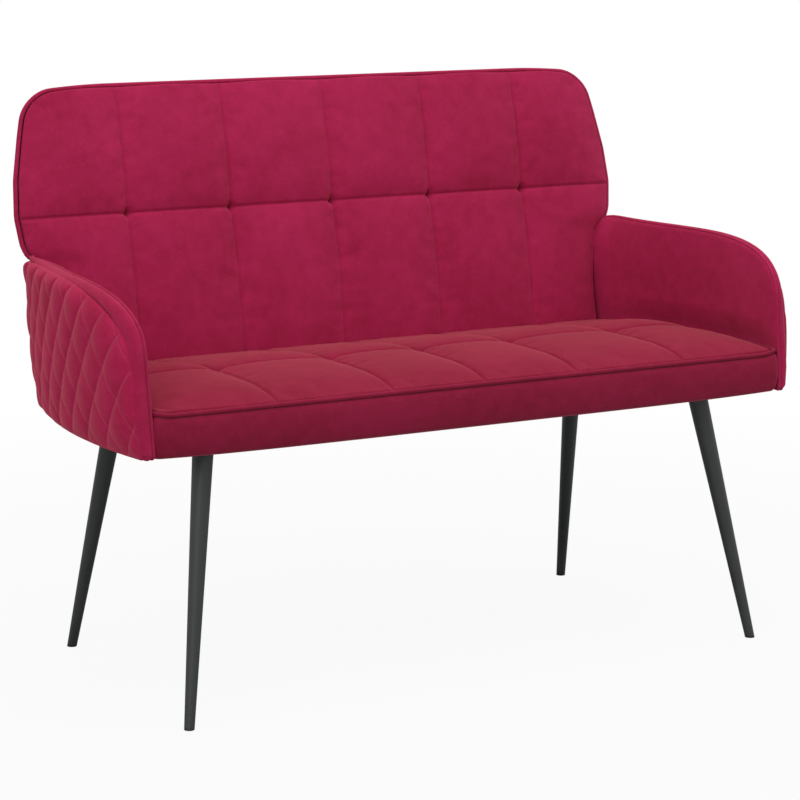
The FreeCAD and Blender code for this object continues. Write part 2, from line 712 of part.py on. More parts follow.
pad_trim = back_face(*pad_outline, -mm("back_thickness")).extrude(Vector(0, 2 * mm("back_thickness"), 0))
back_front = quilted_solid(back_lines, back_section).common(pad_trim)
keep(feature("back_front", back_front.removeSplitter(), back_frame), "back_cushion")

core_foot = mm("back_base_up") - mm("back_foam_margin")
core_outline = back_outline(mm("back_core_x"), core_foot)
foam_outline = inset(*core_outline, mm("back_foam_margin"))
foam_start = mm("back_pad_base") + mm("fit_gap")
foam_block = back_face(*foam_outline, foam_start).extrude(Vector(0, mm("back_foam") - 2 * mm("fit_gap"), 0))
keep(feature("back_slab", foam_block, back_frame), "back_foam")

board_corners = [("back_board_low_x", "back_board_foot"), ("back_board_low_x", "back_board_hip_up"),
                 ("back_board_wide_x", "back_board_hip_up"), ("back_board_wide_x", "back_wide_up"),
                 ("back_board_top_x", "back_board_top"), ("-back_board_top_x", "back_board_top"),
                 ("-back_board_wide_x", "back_wide_up"), ("-back_board_wide_x", "back_board_hip_up"),
                 ("-back_board_low_x", "back_board_hip_up"), ("-back_board_low_x", "back_board_foot")]
board_blank = polygon_body("back_board_blank", "XZ_Plane", board_corners, "-board_front", "back_board", True)
board_blank.Placement = back_frame
board_holes = []
for x in back_bolt_xs:
    start = back_bolt_base(x, mm("board_front") - mm("cut_past"))
    seat = back_bolt_base(x, mm("board_rear") - mm("nut_flange") - mm("bolt_play"))
    board_holes.append(hole("board_hole", "frame_nut_barrel_dia", "back_board + 2 * cut_past",
                           start, rearwards))
    board_holes.append(hole("board_seat", "frame_nut_flange_dia", "2 * nut_flange", seat, rearwards))
board_tools = doc.addObject("Part::MultiFuse", "board_tools")
board_tools.Shapes = board_holes
board_piece = keep(cut("back_panel", board_blank, [board_tools]), "back_board")
doc.recompute()

cover_front = mm("back_piping") + mm("fit_gap")
shoulder = (mm("board_rear") + cover_front) / 2
cover_steps = [(cover_front, mm("back_piping") / 2), (shoulder, mm("back_shoulder_inset")),
               (mm("back_thickness"), mm("back_rear_inset"))]
cover_wires = []
for depth, distance in cover_steps:
    outline = back_outline(mm("back_core_x"), mm("back_board_foot") - distance)
    cover_wires.append(back_face(*inset(*outline, distance), depth).OuterWire)
cover = Part.makeLoft(cover_wires, True, True)
foam_room = back_face(*inset(*foam_outline, -mm("fit_gap")), 0).extrude(Vector(0, mm("board_front"), 0))
board_points = [Vector(mm(across), mm(up)) for across, up in board_corners]
past, inside = mm("cut_past"), mm("rail_inner_x")
room_outline = inset(board_points, [0] * len(board_points), -mm("fit_gap"))
board_room = back_face(*room_outline, mm("board_front") - past)
board_room = board_room.extrude(Vector(0, mm("back_board") + mm("fit_gap") + past, 0))
deck_room = Part.makeBox(4 * inside, mm("board_front") + past, mm("back_base_up") + mm("seat_under"))
deck_room.translate(Vector(-2 * inside, -past, -mm("seat_under")))
keep(feature("back_cover", cover.cut([foam_room, board_room, deck_room]), back_frame), "back_rear_cover")

# Arms: layers of a bent panel, built on the right and mirrored


def arm_corners():
    """The arm's side outline: a leaning front, a top with rounded ends, and a rear that leans with the back."""
    lean, fall = math.tan(math.radians(mm("arm_front_lean"))), math.tan(math.radians(mm("arm_top_fall")))
    front, under, height = mm("arm_front"), mm("seat_under"), mm("arm_height")
    past_back = mm("arm_rear") / math.cos(math.radians(mm("back_lean")))
    rear_top = mm("arm_top_back_y") + past_back
    top_z = (height - fall * (rear_top - front + under * lean)) / (1 - fall * lean)
    top_y = front + (top_z - under) * lean
    corners = [Vector(front, under), Vector(mm("back_foot") + past_back, under), Vector(rear_top, height),
               Vector(top_y, top_z)]
    corner = mm("arm_corner_round")
    return corners, [corner, corner, mm("arm_rear_round"), mm("arm_front_round")]


arm_outline = arm_corners()
arm_axis = Vector(mm("arm_axis_x"), mm("arm_apex_y"), 0)


def arm_prism(distance, outline=arm_outline):
    """A side outline, moved inwards, drawn through the right arm from inside to outside."""
    near, far = mm("rail_inner_x") / 2, 2 * mm("rail_inner_x")
    wire = rounded_wire(*inset(*outline, distance), lambda point: Vector(near, point.x, point.y))
    return Part.Face(wire).extrude(Vector(far - near, 0, 0))


def arm_shell(inner, outer):
    """A tube about the arm's upright axis, taller than the arm."""
    return Part.makeCylinder(outer, 2 * mm("arm_height"), arm_axis).cut(
        Part.makeCylinder(inner, 2 * mm("arm_height"), arm_axis))


def both_arms(node, shape):
    """Keeps a right-hand arm piece and its left-hand copy."""
    right = keep(feature(f"right_{node}_form", shape), f"right_{node}")
    keep(mirrored(f"left_{node}_form", right), f"left_{node}")


def bolt_bores(diameter):
    """Bores along the arm bolts, right through the arm."""
    starts = [Vector(mm("rail_inner_x"), y, arm_bolt_z) for y in arm_bolt_ys]
    return [Part.makeCylinder(diameter / 2, mm("overall_depth"), start, to_right) for start in starts]


def nut_seat_x(y):
    """Where the flange of an arm's nut sits: far enough in that the curved panel covers its rim."""
    slope = math.asin(abs(y - mm("arm_apex_y")) / mm("panel_outer"))
    rim = mm("frame_nut_flange_dia") / 2 * math.tan(slope)
    return side_x("panel_outer", y) - mm("nut_flange") - mm("bolt_play") - rim


inner, band = mm("arm_inner_radius"), mm("arm_band")
lining = arm_shell(inner, inner + mm("arm_lining")).common(arm_prism(mm("arm_piping_depth") + mm("fit_gap")))
lining = lining.cut(bolt_bores(mm("frame_bolt_dia") + 2 * mm("bolt_play")))
both_arms("arm_inner_pad", lining)

panel_outline = arm_outline[0], [*arm_outline[1][:3], mm("arm_panel_round")]
panel = arm_shell(mm("panel_radius"), mm("panel_outer")).common(arm_prism(band + mm("fit_gap"), panel_outline))
panel = panel.cut(bolt_bores(mm("frame_nut_barrel_dia") + 2 * mm("bolt_play")))
clip_run = mm("arm_panel_clip_run")
clip_start = Vector(0, mm("arm_top_back_y") - clip_run, mm("arm_height") - mm("arm_panel_clip"))
panel = panel.cut(Part.makeBox(mm("overall_depth") * 2, 2 * clip_run, mm("arm_height"), clip_start))
seats = [Part.makeCylinder(mm("frame_nut_flange_dia") / 2 + mm("bolt_play"), mm("overall_depth"),
                           Vector(nut_seat_x(y), y, arm_bolt_z), to_right) for y in arm_bolt_ys]
both_arms("arm_panel", panel.cut(seats))

edge_ring = arm_prism(0).cut(arm_prism(band))
both_arms("arm_edge_band", arm_shell(inner + mm("arm_lining") + mm("fit_gap"),
                                     inner + mm("arm_lining") + mm("arm_band_width")).common(edge_ring))
piping_edge = arm_prism(0).cut(arm_prism(mm("arm_piping_depth")))
both_arms("arm_piping", arm_shell(inner + mm("arm_lining") - mm("arm_piping"),
                                  inner + mm("arm_lining")).common(piping_edge))

# Quilted outside of the arm: a pad that swells from its foot to its shoulder, sewn into diamonds

pad_low, pad_high = mm("seat_under"), mm("arm_height")
pad_wide_z = pad_low + mm("arm_pad_shoulder") * (pad_high - pad_low)
pad_foot_r, pad_wide_r = mm("pad_radius") + mm("arm_pad_foot"), mm("pad_radius") + mm("arm_pad_swell")
pad_head_r = mm("pad_radius") + mm("arm_pad_head")


def pad_radius_at(z):
    """How far the pad stands from the arm's axis at a height: quarter ellipses up to and past its shoulder."""
    if z < pad_wide_z:
        share = min((pad_wide_z - z) / (pad_wide_z - pad_low), 1)
        return pad_foot_r + (pad_wide_r - pad_foot_r) * math.sqrt(1 - share ** 2)
    share = min((z - pad_wide_z) / (pad_high - pad_wide_z), 1)
    return pad_head_r + (pad_wide_r - pad_head_r) * math.sqrt(1 - share ** 2)


half_width, half_height = mm("quilt_width") / 2, mm("quilt_height") / 2
step_angle = half_width / pad_wide_r
front_steps = math.floor((mm("arm_front") - mm("arm_apex_y")) / half_width) - 1
rear_steps = math.ceil((mm("arm_top_back_y") + mm("arm_rear") - mm("arm_apex_y")) / half_width) + 1
up_steps = math.ceil((pad_high - pad_low) / half_height) + 1
inner_radius = mm("pad_radius") / math.cos(step_angle / 2)


def quilt_point(along, up):
    """A corner of the quilting: diamond middles stand out, and places where seams cross are drawn in."""
    z = pad_low + mm("quilt_rise") + (up - 2) * half_height
    drawn_in = mm("quilt_depth") if (along + up) % 2 == 0 else 0
    radius = pad_radius_at(min(max(z, pad_low), pad_high)) - drawn_in
    angle = along * step_angle
    return arm_axis + Vector(radius * math.cos(angle), radius * math.sin(angle), z)


def inner_point(along, up):
    """The point behind a corner of the quilting, on the pad's flat-sided inner face."""
    angle = along * step_angle
    place = arm_axis + Vector(inner_radius * math.cos(angle), inner_radius * math.sin(angle), 0)
    place.z = quilt_point(along, up).z
    return place


def flat_face(points):
    """A flat face through points in order."""
    return Part.Face(Part.makePolygon(points + points[:1]))


faces = []
for along in range(front_steps, rear_steps):
    for up in range(up_steps):
        square = [(along, up), (along + 1, up), (along + 1, up + 1), (along, up + 1)]
        if (along + up) % 2:
            square = square[1:] + square[:1]
        corners = [quilt_point(*place) for place in square]
        faces.append(flat_face([corners[0], corners[1], corners[2]]))
        faces.append(flat_face([corners[0], corners[2], corners[3]]))
    faces.append(flat_face([inner_point(along, 0), inner_point(along, up_steps),
                            inner_point(along + 1, up_steps), inner_point(along + 1, 0)]))
for along in (front_steps, rear_steps):
    rim = [quilt_point(along, up) for up in range(up_steps + 1)]
    faces.append(flat_face(rim + [inner_point(along, up_steps), inner_point(along, 0)]))
for up in (0, up_steps):
    rim = [quilt_point(along, up) for along in range(front_steps, rear_steps + 1)]
    behind = [inner_point(along, up) for along in range(front_steps, rear_steps + 1)]
    faces.append(flat_face(rim + behind[::-1]))
quilted_pad = Part.Solid(Part.Shell(faces))
if quilted_pad.Volume < 0:
    quilted_pad.reverse()
both_arms("arm_outer_pad", quilted_pad.common(arm_prism(band + mm("fit_gap"))))

# Legs: a tapered tube under a welded plate, with a plastic glide pushed into its foot


def leg_cone(name, end, placement, thinner):
    """A leg's taper as a solid cone that reaches past both ends of the leg."""
    run = f"{end}_leg_run"
    taper = f"(leg_top_dia - leg_foot_dia) / 2 * leg_spare / {run}"
    cone = doc.addObject("Part::Cone", name)
    cone.setExpression("Radius1", bound(f"leg_foot_dia / 2 - {taper} - ({thinner})"))
    cone.setExpression("Radius2", bound(f"leg_top_dia / 2 + {taper} - ({thinner})"))
    cone.setExpression("Height", bound(f"{run} + 2 * leg_spare"))
    cone.Placement = placement
    return cone


def leg_slice(name, cone, low, height):
    """The part of a cone between two levels."""
    slab = box(f"{name}_slab", ("-2 * rail_inner_x", "-overall_depth", low),
               ("4 * rail_inner_x", "2 * overall_depth", height))
    piece = doc.addObject("Part::Common", name)
    piece.Base = cone
    piece.Tool = slab
    return piece


for leg, end, sign in LEGS:
    top = Vector(sign * mm(f"{end}_leg_x"), mm(f"{end}_leg_y"), mm("leg_drop"))
    foot = Vector(sign * mm(f"{end}_foot_x"), mm(f"{end}_foot_y"), 0)
    along = (top - foot).normalize()
    placement = Placement(foot - along * mm("leg_spare"), Rotation(up_axis, along))
    outside = leg_cone(f"{leg}_outside", end, placement, "0")
    bore = leg_cone(f"{leg}_bore", end, placement, "leg_wall")
    plug = leg_cone(f"{leg}_plug", end, placement, "leg_wall + bolt_play / 2")
    shaft = leg_slice(f"{leg}_shaft", outside, "glide_height", "leg_drop - glide_height")
    keep(cut(f"{leg}_tube", shaft, [bore]), f"{leg}_leg")
    glide = doc.addObject("Part::Fuse", f"{leg}_glide")
    glide.Base = leg_slice(f"{leg}_foot", outside, "0", "glide_height")
    glide.Tool = leg_slice(f"{leg}_foot_plug", plug, "glide_height", "glide_plug")
    keep(glide, f"{leg}_leg_glide")

    square = [("-plate_half", "-plate_half"), ("plate_half", "-plate_half"),
              ("plate_half", "plate_half"), ("-plate_half", "plate_half")]
    plate = polygon_body(f"{leg}_plate_blank", "XY_Plane", square, "leg_drop", "plate_thickness")
    round_edges(plate, plate.Tip, [Vector(mm(x), mm(y)) for x, y in square], "plate_round")
    plate.Placement = Placement(Vector(top.x, top.y - mm(f"{end}_plate_shift"), 0), Rotation())
    holes = []
    for point in leg_bolt_points(end, sign, mm("leg_drop") - mm("cut_past")):
        holes.append(hole(f"{leg}_plate_hole", "leg_bolt_dia", "plate_thickness + 2 * cut_past",
                         point, up_axis))
    keep(cut(f"{leg}_plate", plate, holes), f"{leg}_leg_plate")

# Fasteners: hex bolts, flanged nuts set into the wood, and frame screws


def hex_bolt(name, kind, length):
    """A bolt along +Z, with the underside of its head at the origin."""
    shank = rod(f"{name}_shank", f"{kind}_bolt_dia", length, Vector(0, 0, 0), up_axis)
    head = doc.addObject("Part::Prism", f"{name}_head")
    head.Polygon = 6
    head.setExpression("Circumradius", bound(f"{kind}_bolt_head_dia / 2"))
    head.setExpression("Height", bound(f"{kind}_bolt_head"))
    head.setExpression("Placement.Base.z", bound(f"-{kind}_bolt_head"))
    bolt = doc.addObject("Part::Fuse", name)
    bolt.Base = shank
    bolt.Tool = head
    return bolt


def flanged_nut(name, kind):
    """A nut along +Z: a barrel below the origin, and a flange that sits on the wood above it."""
    foot = Vector(0, 0, -mm("nut_barrel"))
    barrel = rod(f"{name}_barrel", f"{kind}_nut_barrel_dia", "nut_barrel", foot, up_axis)
    flange = rod(f"{name}_flange", f"{kind}_nut_flange_dia", "nut_flange", Vector(0, 0, 0), up_axis)
    body = doc.addObject("Part::Fuse", f"{name}_body")
    body.Base = barrel
    body.Tool = flange
    length = "2 * (nut_barrel + nut_flange)"
    bore = rod(f"{name}_bore", f"{kind}_bolt_dia + bolt_play", length, foot * 2, up_axis)
    return cut(name, body, [bore])


leg_bolt = hex_bolt("leg_bolt", "leg", "plate_thickness + dust_cover + rail_height - nut_flange")
leg_nut = flanged_nut("leg_nut", "leg")
bolt_places, nut_places = [], []
nut_drop = mm("nut_flange") + mm("bolt_play")
for leg, end, sign in LEGS:
    nut_z = mm("board_base") - nut_drop
    bolt_places += [Placement(point, Rotation()) for point in leg_bolt_points(end, sign, mm("leg_drop"))]
    nut_places += [Placement(point, Rotation()) for point in leg_bolt_points(end, sign, nut_z)]
group("leg_bolts", leg_bolt, bolt_places)
group("leg_tee_nuts", leg_nut, nut_places)

arm_bolt = hex_bolt("arm_bolt", "frame", "arm_bolt_length")
frame_nut = flanged_nut("frame_nut", "frame")
bolt_places, nut_places = [], []
for sign in SIDES.values():
    outwards = Rotation(up_axis, to_right * sign)
    for y in arm_bolt_ys:
        bolt_places.append(Placement(Vector(sign * mm("rail_inner_x"), y, arm_bolt_z), outwards))
        nut_places.append(Placement(Vector(sign * nut_seat_x(y), y, arm_bolt_z), outwards))
group("arm_bolts", arm_bolt, bolt_places)
group("arm_tee_nuts", frame_nut, nut_places)

back_bolt = hex_bolt("back_bolt", "frame", "rail_width + back_board")
turned = Rotation(up_axis, rearwards)
group("back_bolts", back_bolt, [Placement(back_bolt_base(x, back_bolt_depth), turned) for x in back_bolt_xs])
group("back_tee_nuts", frame_nut,
      [Placement(back_bolt_base(x, mm("board_rear") - nut_drop), turned) for x in back_bolt_xs])

screw = doc.addObject("Part::Fuse", "rail_screw")
screw.Base = rod("rail_screw_shank", "screw_dia", "screw_seat + screw_bite", Vector(0, 0, 0), up_axis)
screw.Tool = rod("rail_screw_head", "screw_head_dia", "screw_head", Vector(0, 0, -mm("screw_head")), up_axis)
screw_places = []
for sign in SIDES.values():
    for y, z in screw_points:
        place = Vector(sign * (mm("rail_inner_x") + mm("screw_seat")), y, z)
        screw_places.append(Placement(place, Rotation(up_axis, to_right * -sign)))
group("rail_screws", screw, screw_places)

# Every piece is tested before any is written

doc.recompute()
failed = [item.Label for item in doc.Objects if {"Invalid", "Error"} & set(item.State)]
failed += [piece.Label for piece in nodes if piece.Shape.isNull() or not piece.Shape.isValid()]
if failed:
    raise RuntimeError(f"these pieces failed: {failed}")
os.makedirs("parts", exist_ok=True)
for piece in nodes:
    piece.Shape.exportStep(f"parts/{piece.Label}.step")
    print(piece.Label, len(piece.Shape.Solids), "solids,", round(piece.Shape.Volume / 1000), "cm3")
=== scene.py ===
import math
import bpy
import numpy as np
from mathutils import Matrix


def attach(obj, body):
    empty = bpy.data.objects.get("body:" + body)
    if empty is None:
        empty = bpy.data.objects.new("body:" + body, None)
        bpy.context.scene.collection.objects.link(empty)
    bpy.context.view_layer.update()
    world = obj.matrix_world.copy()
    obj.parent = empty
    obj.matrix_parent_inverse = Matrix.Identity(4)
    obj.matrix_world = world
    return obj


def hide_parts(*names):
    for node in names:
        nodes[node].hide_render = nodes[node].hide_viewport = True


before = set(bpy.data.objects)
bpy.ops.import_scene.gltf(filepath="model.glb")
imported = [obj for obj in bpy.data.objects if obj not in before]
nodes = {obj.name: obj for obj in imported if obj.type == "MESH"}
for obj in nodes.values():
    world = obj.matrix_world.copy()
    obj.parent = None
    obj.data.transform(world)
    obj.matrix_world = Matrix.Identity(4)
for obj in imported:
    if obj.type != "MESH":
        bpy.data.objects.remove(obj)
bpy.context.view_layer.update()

# Seat frame: five planed softwood rails and four corner blocks, glued and screwed into one frame. The grain
# runs along each rail, and the covers hide all of it.


class Wire:
    """A shader socket that can be reckoned with: each sign between values adds one Math node."""

    def __init__(self, tree, socket):
        self.tree = tree
        self.socket = socket

    def node(self, kind, settings, sockets, output=0):
        """Adds a node: its settings first, then the values or links of its sockets."""
        made = self.tree.nodes.new(kind)
        for name, value in settings.items():
            setattr(made, name, value)
        for name, value in sockets.items():
            if isinstance(value, Wire):
                self.tree.links.new(value.socket, made.inputs[name])
            else:
                made.inputs[name].default_value = value
        return Wire(self.tree, made.outputs[output])

    def reckon(self, operation, first, second=0.0):
        return self.node("ShaderNodeMath", {"operation": operation}, {0: first, 1: second})

    def __add__(self, other):
        return self.reckon("ADD", self, other)

    def __sub__(self, other):
        return self.reckon("SUBTRACT", self, other)

    def __mul__(self, other):
        return self.reckon("MULTIPLY", self, other)

    def __abs__(self):
        return self.reckon("ABSOLUTE", self)

    def axis(self, index):
        """One of a place's three coordinates."""
        return self.node("ShaderNodeSeparateXYZ", {}, {"Vector": self}, index)

    def spread(self, scale):
        """The same place with its axes squeezed or stretched."""
        return self.node("ShaderNodeMapping", {}, {"Vector": self, "Scale": scale})

    def noise(self, scale, detail=3.0, roughness=0.5):
        """Cloudy values about a half, with so many clouds to the metre."""
        return self.node("ShaderNodeTexNoise", {}, {"Vector": self, "Scale": scale, "Detail": detail,
                                                    "Roughness": roughness})

    def level(self, low, high, first=0.0, last=1.0):
        """This value moved from one range to another and held at its ends."""
        return self.node("ShaderNodeMapRange", {}, {"Value": self, "From Min": low, "From Max": high,
                                                    "To Min": first, "To Max": last})

    def blend(self, first, second):
        """A colour between two others, by this value."""
        return self.node("ShaderNodeMix", {"data_type": "RGBA"}, {0: self, 6: first, 7: second}, 2)

    def feed(self, shader, name):
        self.tree.links.new(self.socket, shader.inputs[name])

    def relief(self, shader, depth):
        """Raises the surface by up to a depth in metres where this value is high."""
        self.node("ShaderNodeBump", {}, {"Height": self, "Distance": depth}).feed(shader, "Normal")


def paint(code):
    """A colour from its six hex digits, as the shader wants it."""
    parts = [int(code[at:at + 2], 16) / 255 for at in (1, 3, 5)]
    return (*[part / 12.92 if part < 0.04045 else ((part + 0.055) / 1.055) ** 2.4 for part in parts], 1.0)


def finish(name, **values):
    """A new material: its shader with the values that are the same all over, and the place on the piece."""
    material = bpy.data.materials.new(name)
    material.use_nodes = True
    tree = material.node_tree
    shader = tree.nodes["Principled BSDF"]
    for socket, value in values.items():
        shader.inputs[socket.replace("_", " ")].default_value = value
    place = Wire(tree, tree.nodes.new("ShaderNodeTexCoord").outputs["Object"])
    return material, shader, place


def dress(material, *names):
    """Gives CAD pieces their finish."""
    for name in names:
        nodes[name].data.materials.clear()
        nodes[name].data.materials.append(material)


def wood(name, along, pale, dark):
    """Planed wood with its grain along one axis."""
    material, shader, place = finish(name, Roughness=0.72)
    grain = place.spread([3.0 if axis == along else 70.0 for axis in range(3)])
    figure = grain.noise(1.0, 5.0, 0.6)
    pores = grain.noise(9.0, 2.0)
    (figure * 0.8 + pores * 0.2).level(0.35, 0.65).blend(paint(pale), paint(dark)).feed(shader, "Base Color")
    pores.relief(shader, 0.0002)
    return material


dress(wood("softwood_across", 0, "#D9BC8B", "#B98D55"), "seat_front_rail", "seat_rear_rail",
      *[f"{end}_{hand}_leg_block" for end in ("front", "rear") for hand in ("left", "right")])
dress(wood("softwood_along", 1, "#D6B787", "#B48850"), "left_seat_rail", "right_seat_rail",
      "seat_centre_rail")

# Boards: the seat deck and the back carrier are flat plywood, and each arm is a plywood panel pressed to its
# curve. Their faces are birch veneer. The arms and the back are bolted to the seat frame.

dress(wood("birch_ply_across", 0, "#E2CDA4", "#CBAA74"), "seat_board", "back_board")
dress(wood("birch_ply_along", 1, "#E2CDA4", "#CBAA74"), "left_arm_panel", "right_arm_panel")

# Fasteners: zinc-plated hex bolts, flanged nuts that are sunk into the wood, and frame screws. The plating is
# bright but a little cloudy.

zinc, shader, place = finish("zinc_plate", Metallic=1.0)
cloud = place.noise(180.0, 4.0, 0.6)
cloud.blend(paint("#B9BCC0"), paint("#D3D5D6")).feed(shader, "Base Color")
cloud.level(0.3, 0.7, 0.28, 0.46).feed(shader, "Roughness")
dress(zinc, "leg_bolts", "leg_tee_nuts", "arm_bolts", "arm_tee_nuts", "back_bolts", "back_tee_nuts",
      "rail_screws")

# Legs: tapered steel tubes welded to square plates, powder coated in satin charcoal after welding. Each
# foot has a black plastic plug to stand on.

coat, shader, place = finish("charcoal_powder_coat", Metallic=0.0, Coat_Weight=0.15, Coat_Roughness=0.3)
peel = place.noise(650.0, 2.0)
drift = place.noise(14.0, 3.0)
coat_tone = (peel * 0.35 + drift * 0.65).level(0.35, 0.65)
coat_tone.blend(paint("#1D2121"), paint("#272C2C")).feed(shader, "Base Color")
drift.level(0.3, 0.7, 0.4, 0.52).feed(shader, "Roughness")
peel.relief(shader, 0.00012)

plug, shader, place = finish("black_glide_plastic")
scuff = place.noise(400.0, 4.0, 0.7)
scuff.blend(paint("#0D0E0E"), paint("#1B1C1C")).feed(shader, "Base Color")
scuff.level(0.3, 0.7, 0.42, 0.6).feed(shader, "Roughness")

for end in ("front", "rear"):
    for hand in ("left", "right"):
        dress(coat, f"{end}_{hand}_leg", f"{end}_{hand}_leg_plate")
        dress(plug, f"{end}_{hand}_leg_glide")

# Dust cover: one piece of thin black spunbonded cloth, stretched over the underside of the seat frame and
# stapled to it. The leg plates are bolted on over it.

ARM_AXIS_X = -0.354
ARM_APEX_Y = -0.1302


def out_to(radius, y):
    """How far out to the right a curve about the right arm's axis is at a depth."""
    return ARM_AXIS_X + np.sqrt(radius ** 2 - (y - ARM_APEX_Y) ** 2)


def points(piece):
    """A piece's vertices as rows of x, y and z."""
    at = np.empty(3 * len(piece.data.vertices))
    piece.data.vertices.foreach_get("co", at)
    return at.reshape(-1, 3)


def lay(piece, at):
    """Moves a piece's vertices to new places."""
    piece.data.vertices.foreach_set("co", np.ascontiguousarray(at, dtype=np.float32).ravel())
    piece.data.update()


def skin(name, columns, rows, place):
    """A cloth as a grid: place gives the points from their shares across and along."""
    bpy.ops.object.select_all(action="DESELECT")
    bpy.ops.mesh.primitive_grid_add(x_subdivisions=columns, y_subdivisions=rows, size=1)
    piece = bpy.context.object
    piece.name = name
    share = points(piece) + 0.5
    lay(piece, np.column_stack(place(share[:, 0], share[:, 1])))
    return piece


def round_corner(s, t, end_s, end_t, reach_s, reach_t, full=2.0):
    """Draws one corner of the unit square in to a quarter round, or a fuller one, with the grid about it."""
    a = (s - end_s) * (2 * end_s - 1) / reach_s + 1
    b = (t - end_t) * (2 * end_t - 1) / reach_t + 1
    inside = (a > 0) & (b > 0)
    away = (np.maximum(a, 0) ** full + np.maximum(b, 0) ** full) ** (1 / full)
    share = np.where(inside, np.maximum(a, b) / np.maximum(away, 1e-9), 1.0)
    a, b = np.where(inside, a * share, a), np.where(inside, b * share, b)
    return (a - 1) * reach_s * (2 * end_s - 1) + end_s, (b - 1) * reach_t * (2 * end_t - 1) + end_t


def pick(piece):
    """Makes a piece the active one and the only one that is selected."""
    bpy.ops.object.select_all(action="DESELECT")
    piece.select_set(True)
    bpy.context.view_layer.objects.active = piece


def change(piece, kind, **values):
    """Adds one modifier to a piece and applies it."""
    pick(piece)
    bpy.ops.object.modifier_add(type=kind)
    modifier = piece.modifiers[-1]
    for name, value in values.items():
        setattr(modifier, name, value)
    bpy.ops.object.modifier_apply(modifier=modifier.name)


DUST_FRONT, DUST_REAR, DUST_RADIUS, DUST_CORNER = -0.2664, 0.1602, 0.8797, 0.0135
DUST_Z, DUST_SAG, DUST_THICK = 0.3806, 0.0012, 0.0005
DUST_COLUMNS, DUST_ROWS = 96, 40


def dust_place(s, t):
    """The stretched cloth, with rounded front corners and a slight sag between the rails."""
    across, along = 2 * out_to(DUST_RADIUS, ARM_APEX_Y), DUST_REAR - DUST_FRONT
    for end in (0, 1):
        s, t = round_corner(s, t, end, 0, DUST_CORNER / across, DUST_CORNER / along)
    y = DUST_FRONT + along * t
    sag = DUST_SAG * np.abs(np.sin(2 * np.pi * s)) * np.sin(np.pi * t)
    return (2 * s - 1) * out_to(DUST_RADIUS, y), y, DUST_Z - sag


dust_cover = skin("dust_cover", DUST_COLUMNS, DUST_ROWS, dust_place)
change(dust_cover, "SOLIDIFY", thickness=DUST_THICK, offset=0.0)
spunbond, shader, place = finish("black_spunbond", Roughness=0.95)
fibre = place.noise(2200.0, 3.0, 0.7)
dimple = place.spread((1.0, 1.0, 0.0)).noise(420.0, 1.0)
cloth_tone = (fibre * 0.6 + dimple * 0.4).level(0.3, 0.7)
cloth_tone.blend(paint("#131314"), paint("#2A2A2C")).feed(shader, "Base Color")
(fibre * 0.5 + dimple).relief(shader, 0.0002)
dust_cover.data.materials.append(spunbond)
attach(dust_cover, "root")
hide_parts("seat_dust_cover")
dust_width = 2 * out_to(DUST_RADIUS, ARM_APEX_Y)
dust_mean = 2 * np.mean(out_to(DUST_RADIUS, np.linspace(DUST_FRONT, DUST_REAR, 50)))

# Seat boxing: the plain velvet band round the front and sides of the seat, over a thin layer of wadding. It
# is sewn to the piping above and stapled under the rails, and it turns in behind the side rails.

SEAT_FRONT, SEAT_RADIUS, SEAT_CORNER = -0.2692, 0.8856, 0.012
BOXING_REAR, BOXING_TURN, BOXING_TUCK = 0.1605, 0.004, 0.022
BOXING_LOW, BOXING_SAG, BOXING_SAG_REACH, BOXING_UNDER = 0.3795, 0.0058, 0.524, 0.0028
BOXING_SWELL, BOXING_ROLL, BOXING_THICK, BOXING_ROWS = 0.0052, 0.0034, 0.0020, 22
BOXING_TURN_UNDER, BOXING_TURN_Z, BOXING_TURN_RISE = 0.0085, 0.3810, 0.0075
RIM_Z, RIM_RISE, RIM_START, RIM_RUN = 0.4366, 0.0045, 0.492, 0.030
RIM_REAR_START, RIM_REAR_RUN, RIM_REAR_FALL = 0.04, 0.09, 0.6
STRAIGHT_STEPS, BEND_STEPS, SIDE_STEPS, TURN_STEPS = 90, 12, 80, 8
SAME_POINT = 0.00002


def velvet(name, dark, light, sheen, line=None):
    """Short velvet: pile that lies in patches, a mottled nap, and a sheen where it is seen edge on. Its dark
    and light tones are set for each piece, darker or lighter to paint the shade or light that piece falls in,
    and a line gives the share of a painted highlight along a seam."""
    material, shader, place = finish(name, Roughness=0.88, Specular_IOR_Level=0.12, Sheen_Weight=sheen,
                                     Sheen_Roughness=0.42, Sheen_Tint=paint("#F08A8E"))
    patches = place.noise(6.5, 3.0, 0.55)
    mottle = place.noise(48.0, 5.0, 0.68)
    nap = place.noise(1100.0, 2.0, 0.6)
    specks = place.noise(420.0, 1.0, 0.4).level(0.70, 0.78)
    shade = patches * 0.30 + mottle * 0.38 + nap * 0.32
    colour = shade.level(0.32, 0.68).blend(paint(dark), paint(light))
    colour = (specks * 0.22).blend(colour, paint("#C2587A"))
    # A line paints a highlight along the seams, where the pile crushed at the seam catches the light.
    if line:
        colour = line(place).blend(colour, paint("#BC5572"))
    colour.feed(shader, "Base Color")
    (mottle * 0.5 + nap * 0.5).relief(shader, 0.0005)
    return material


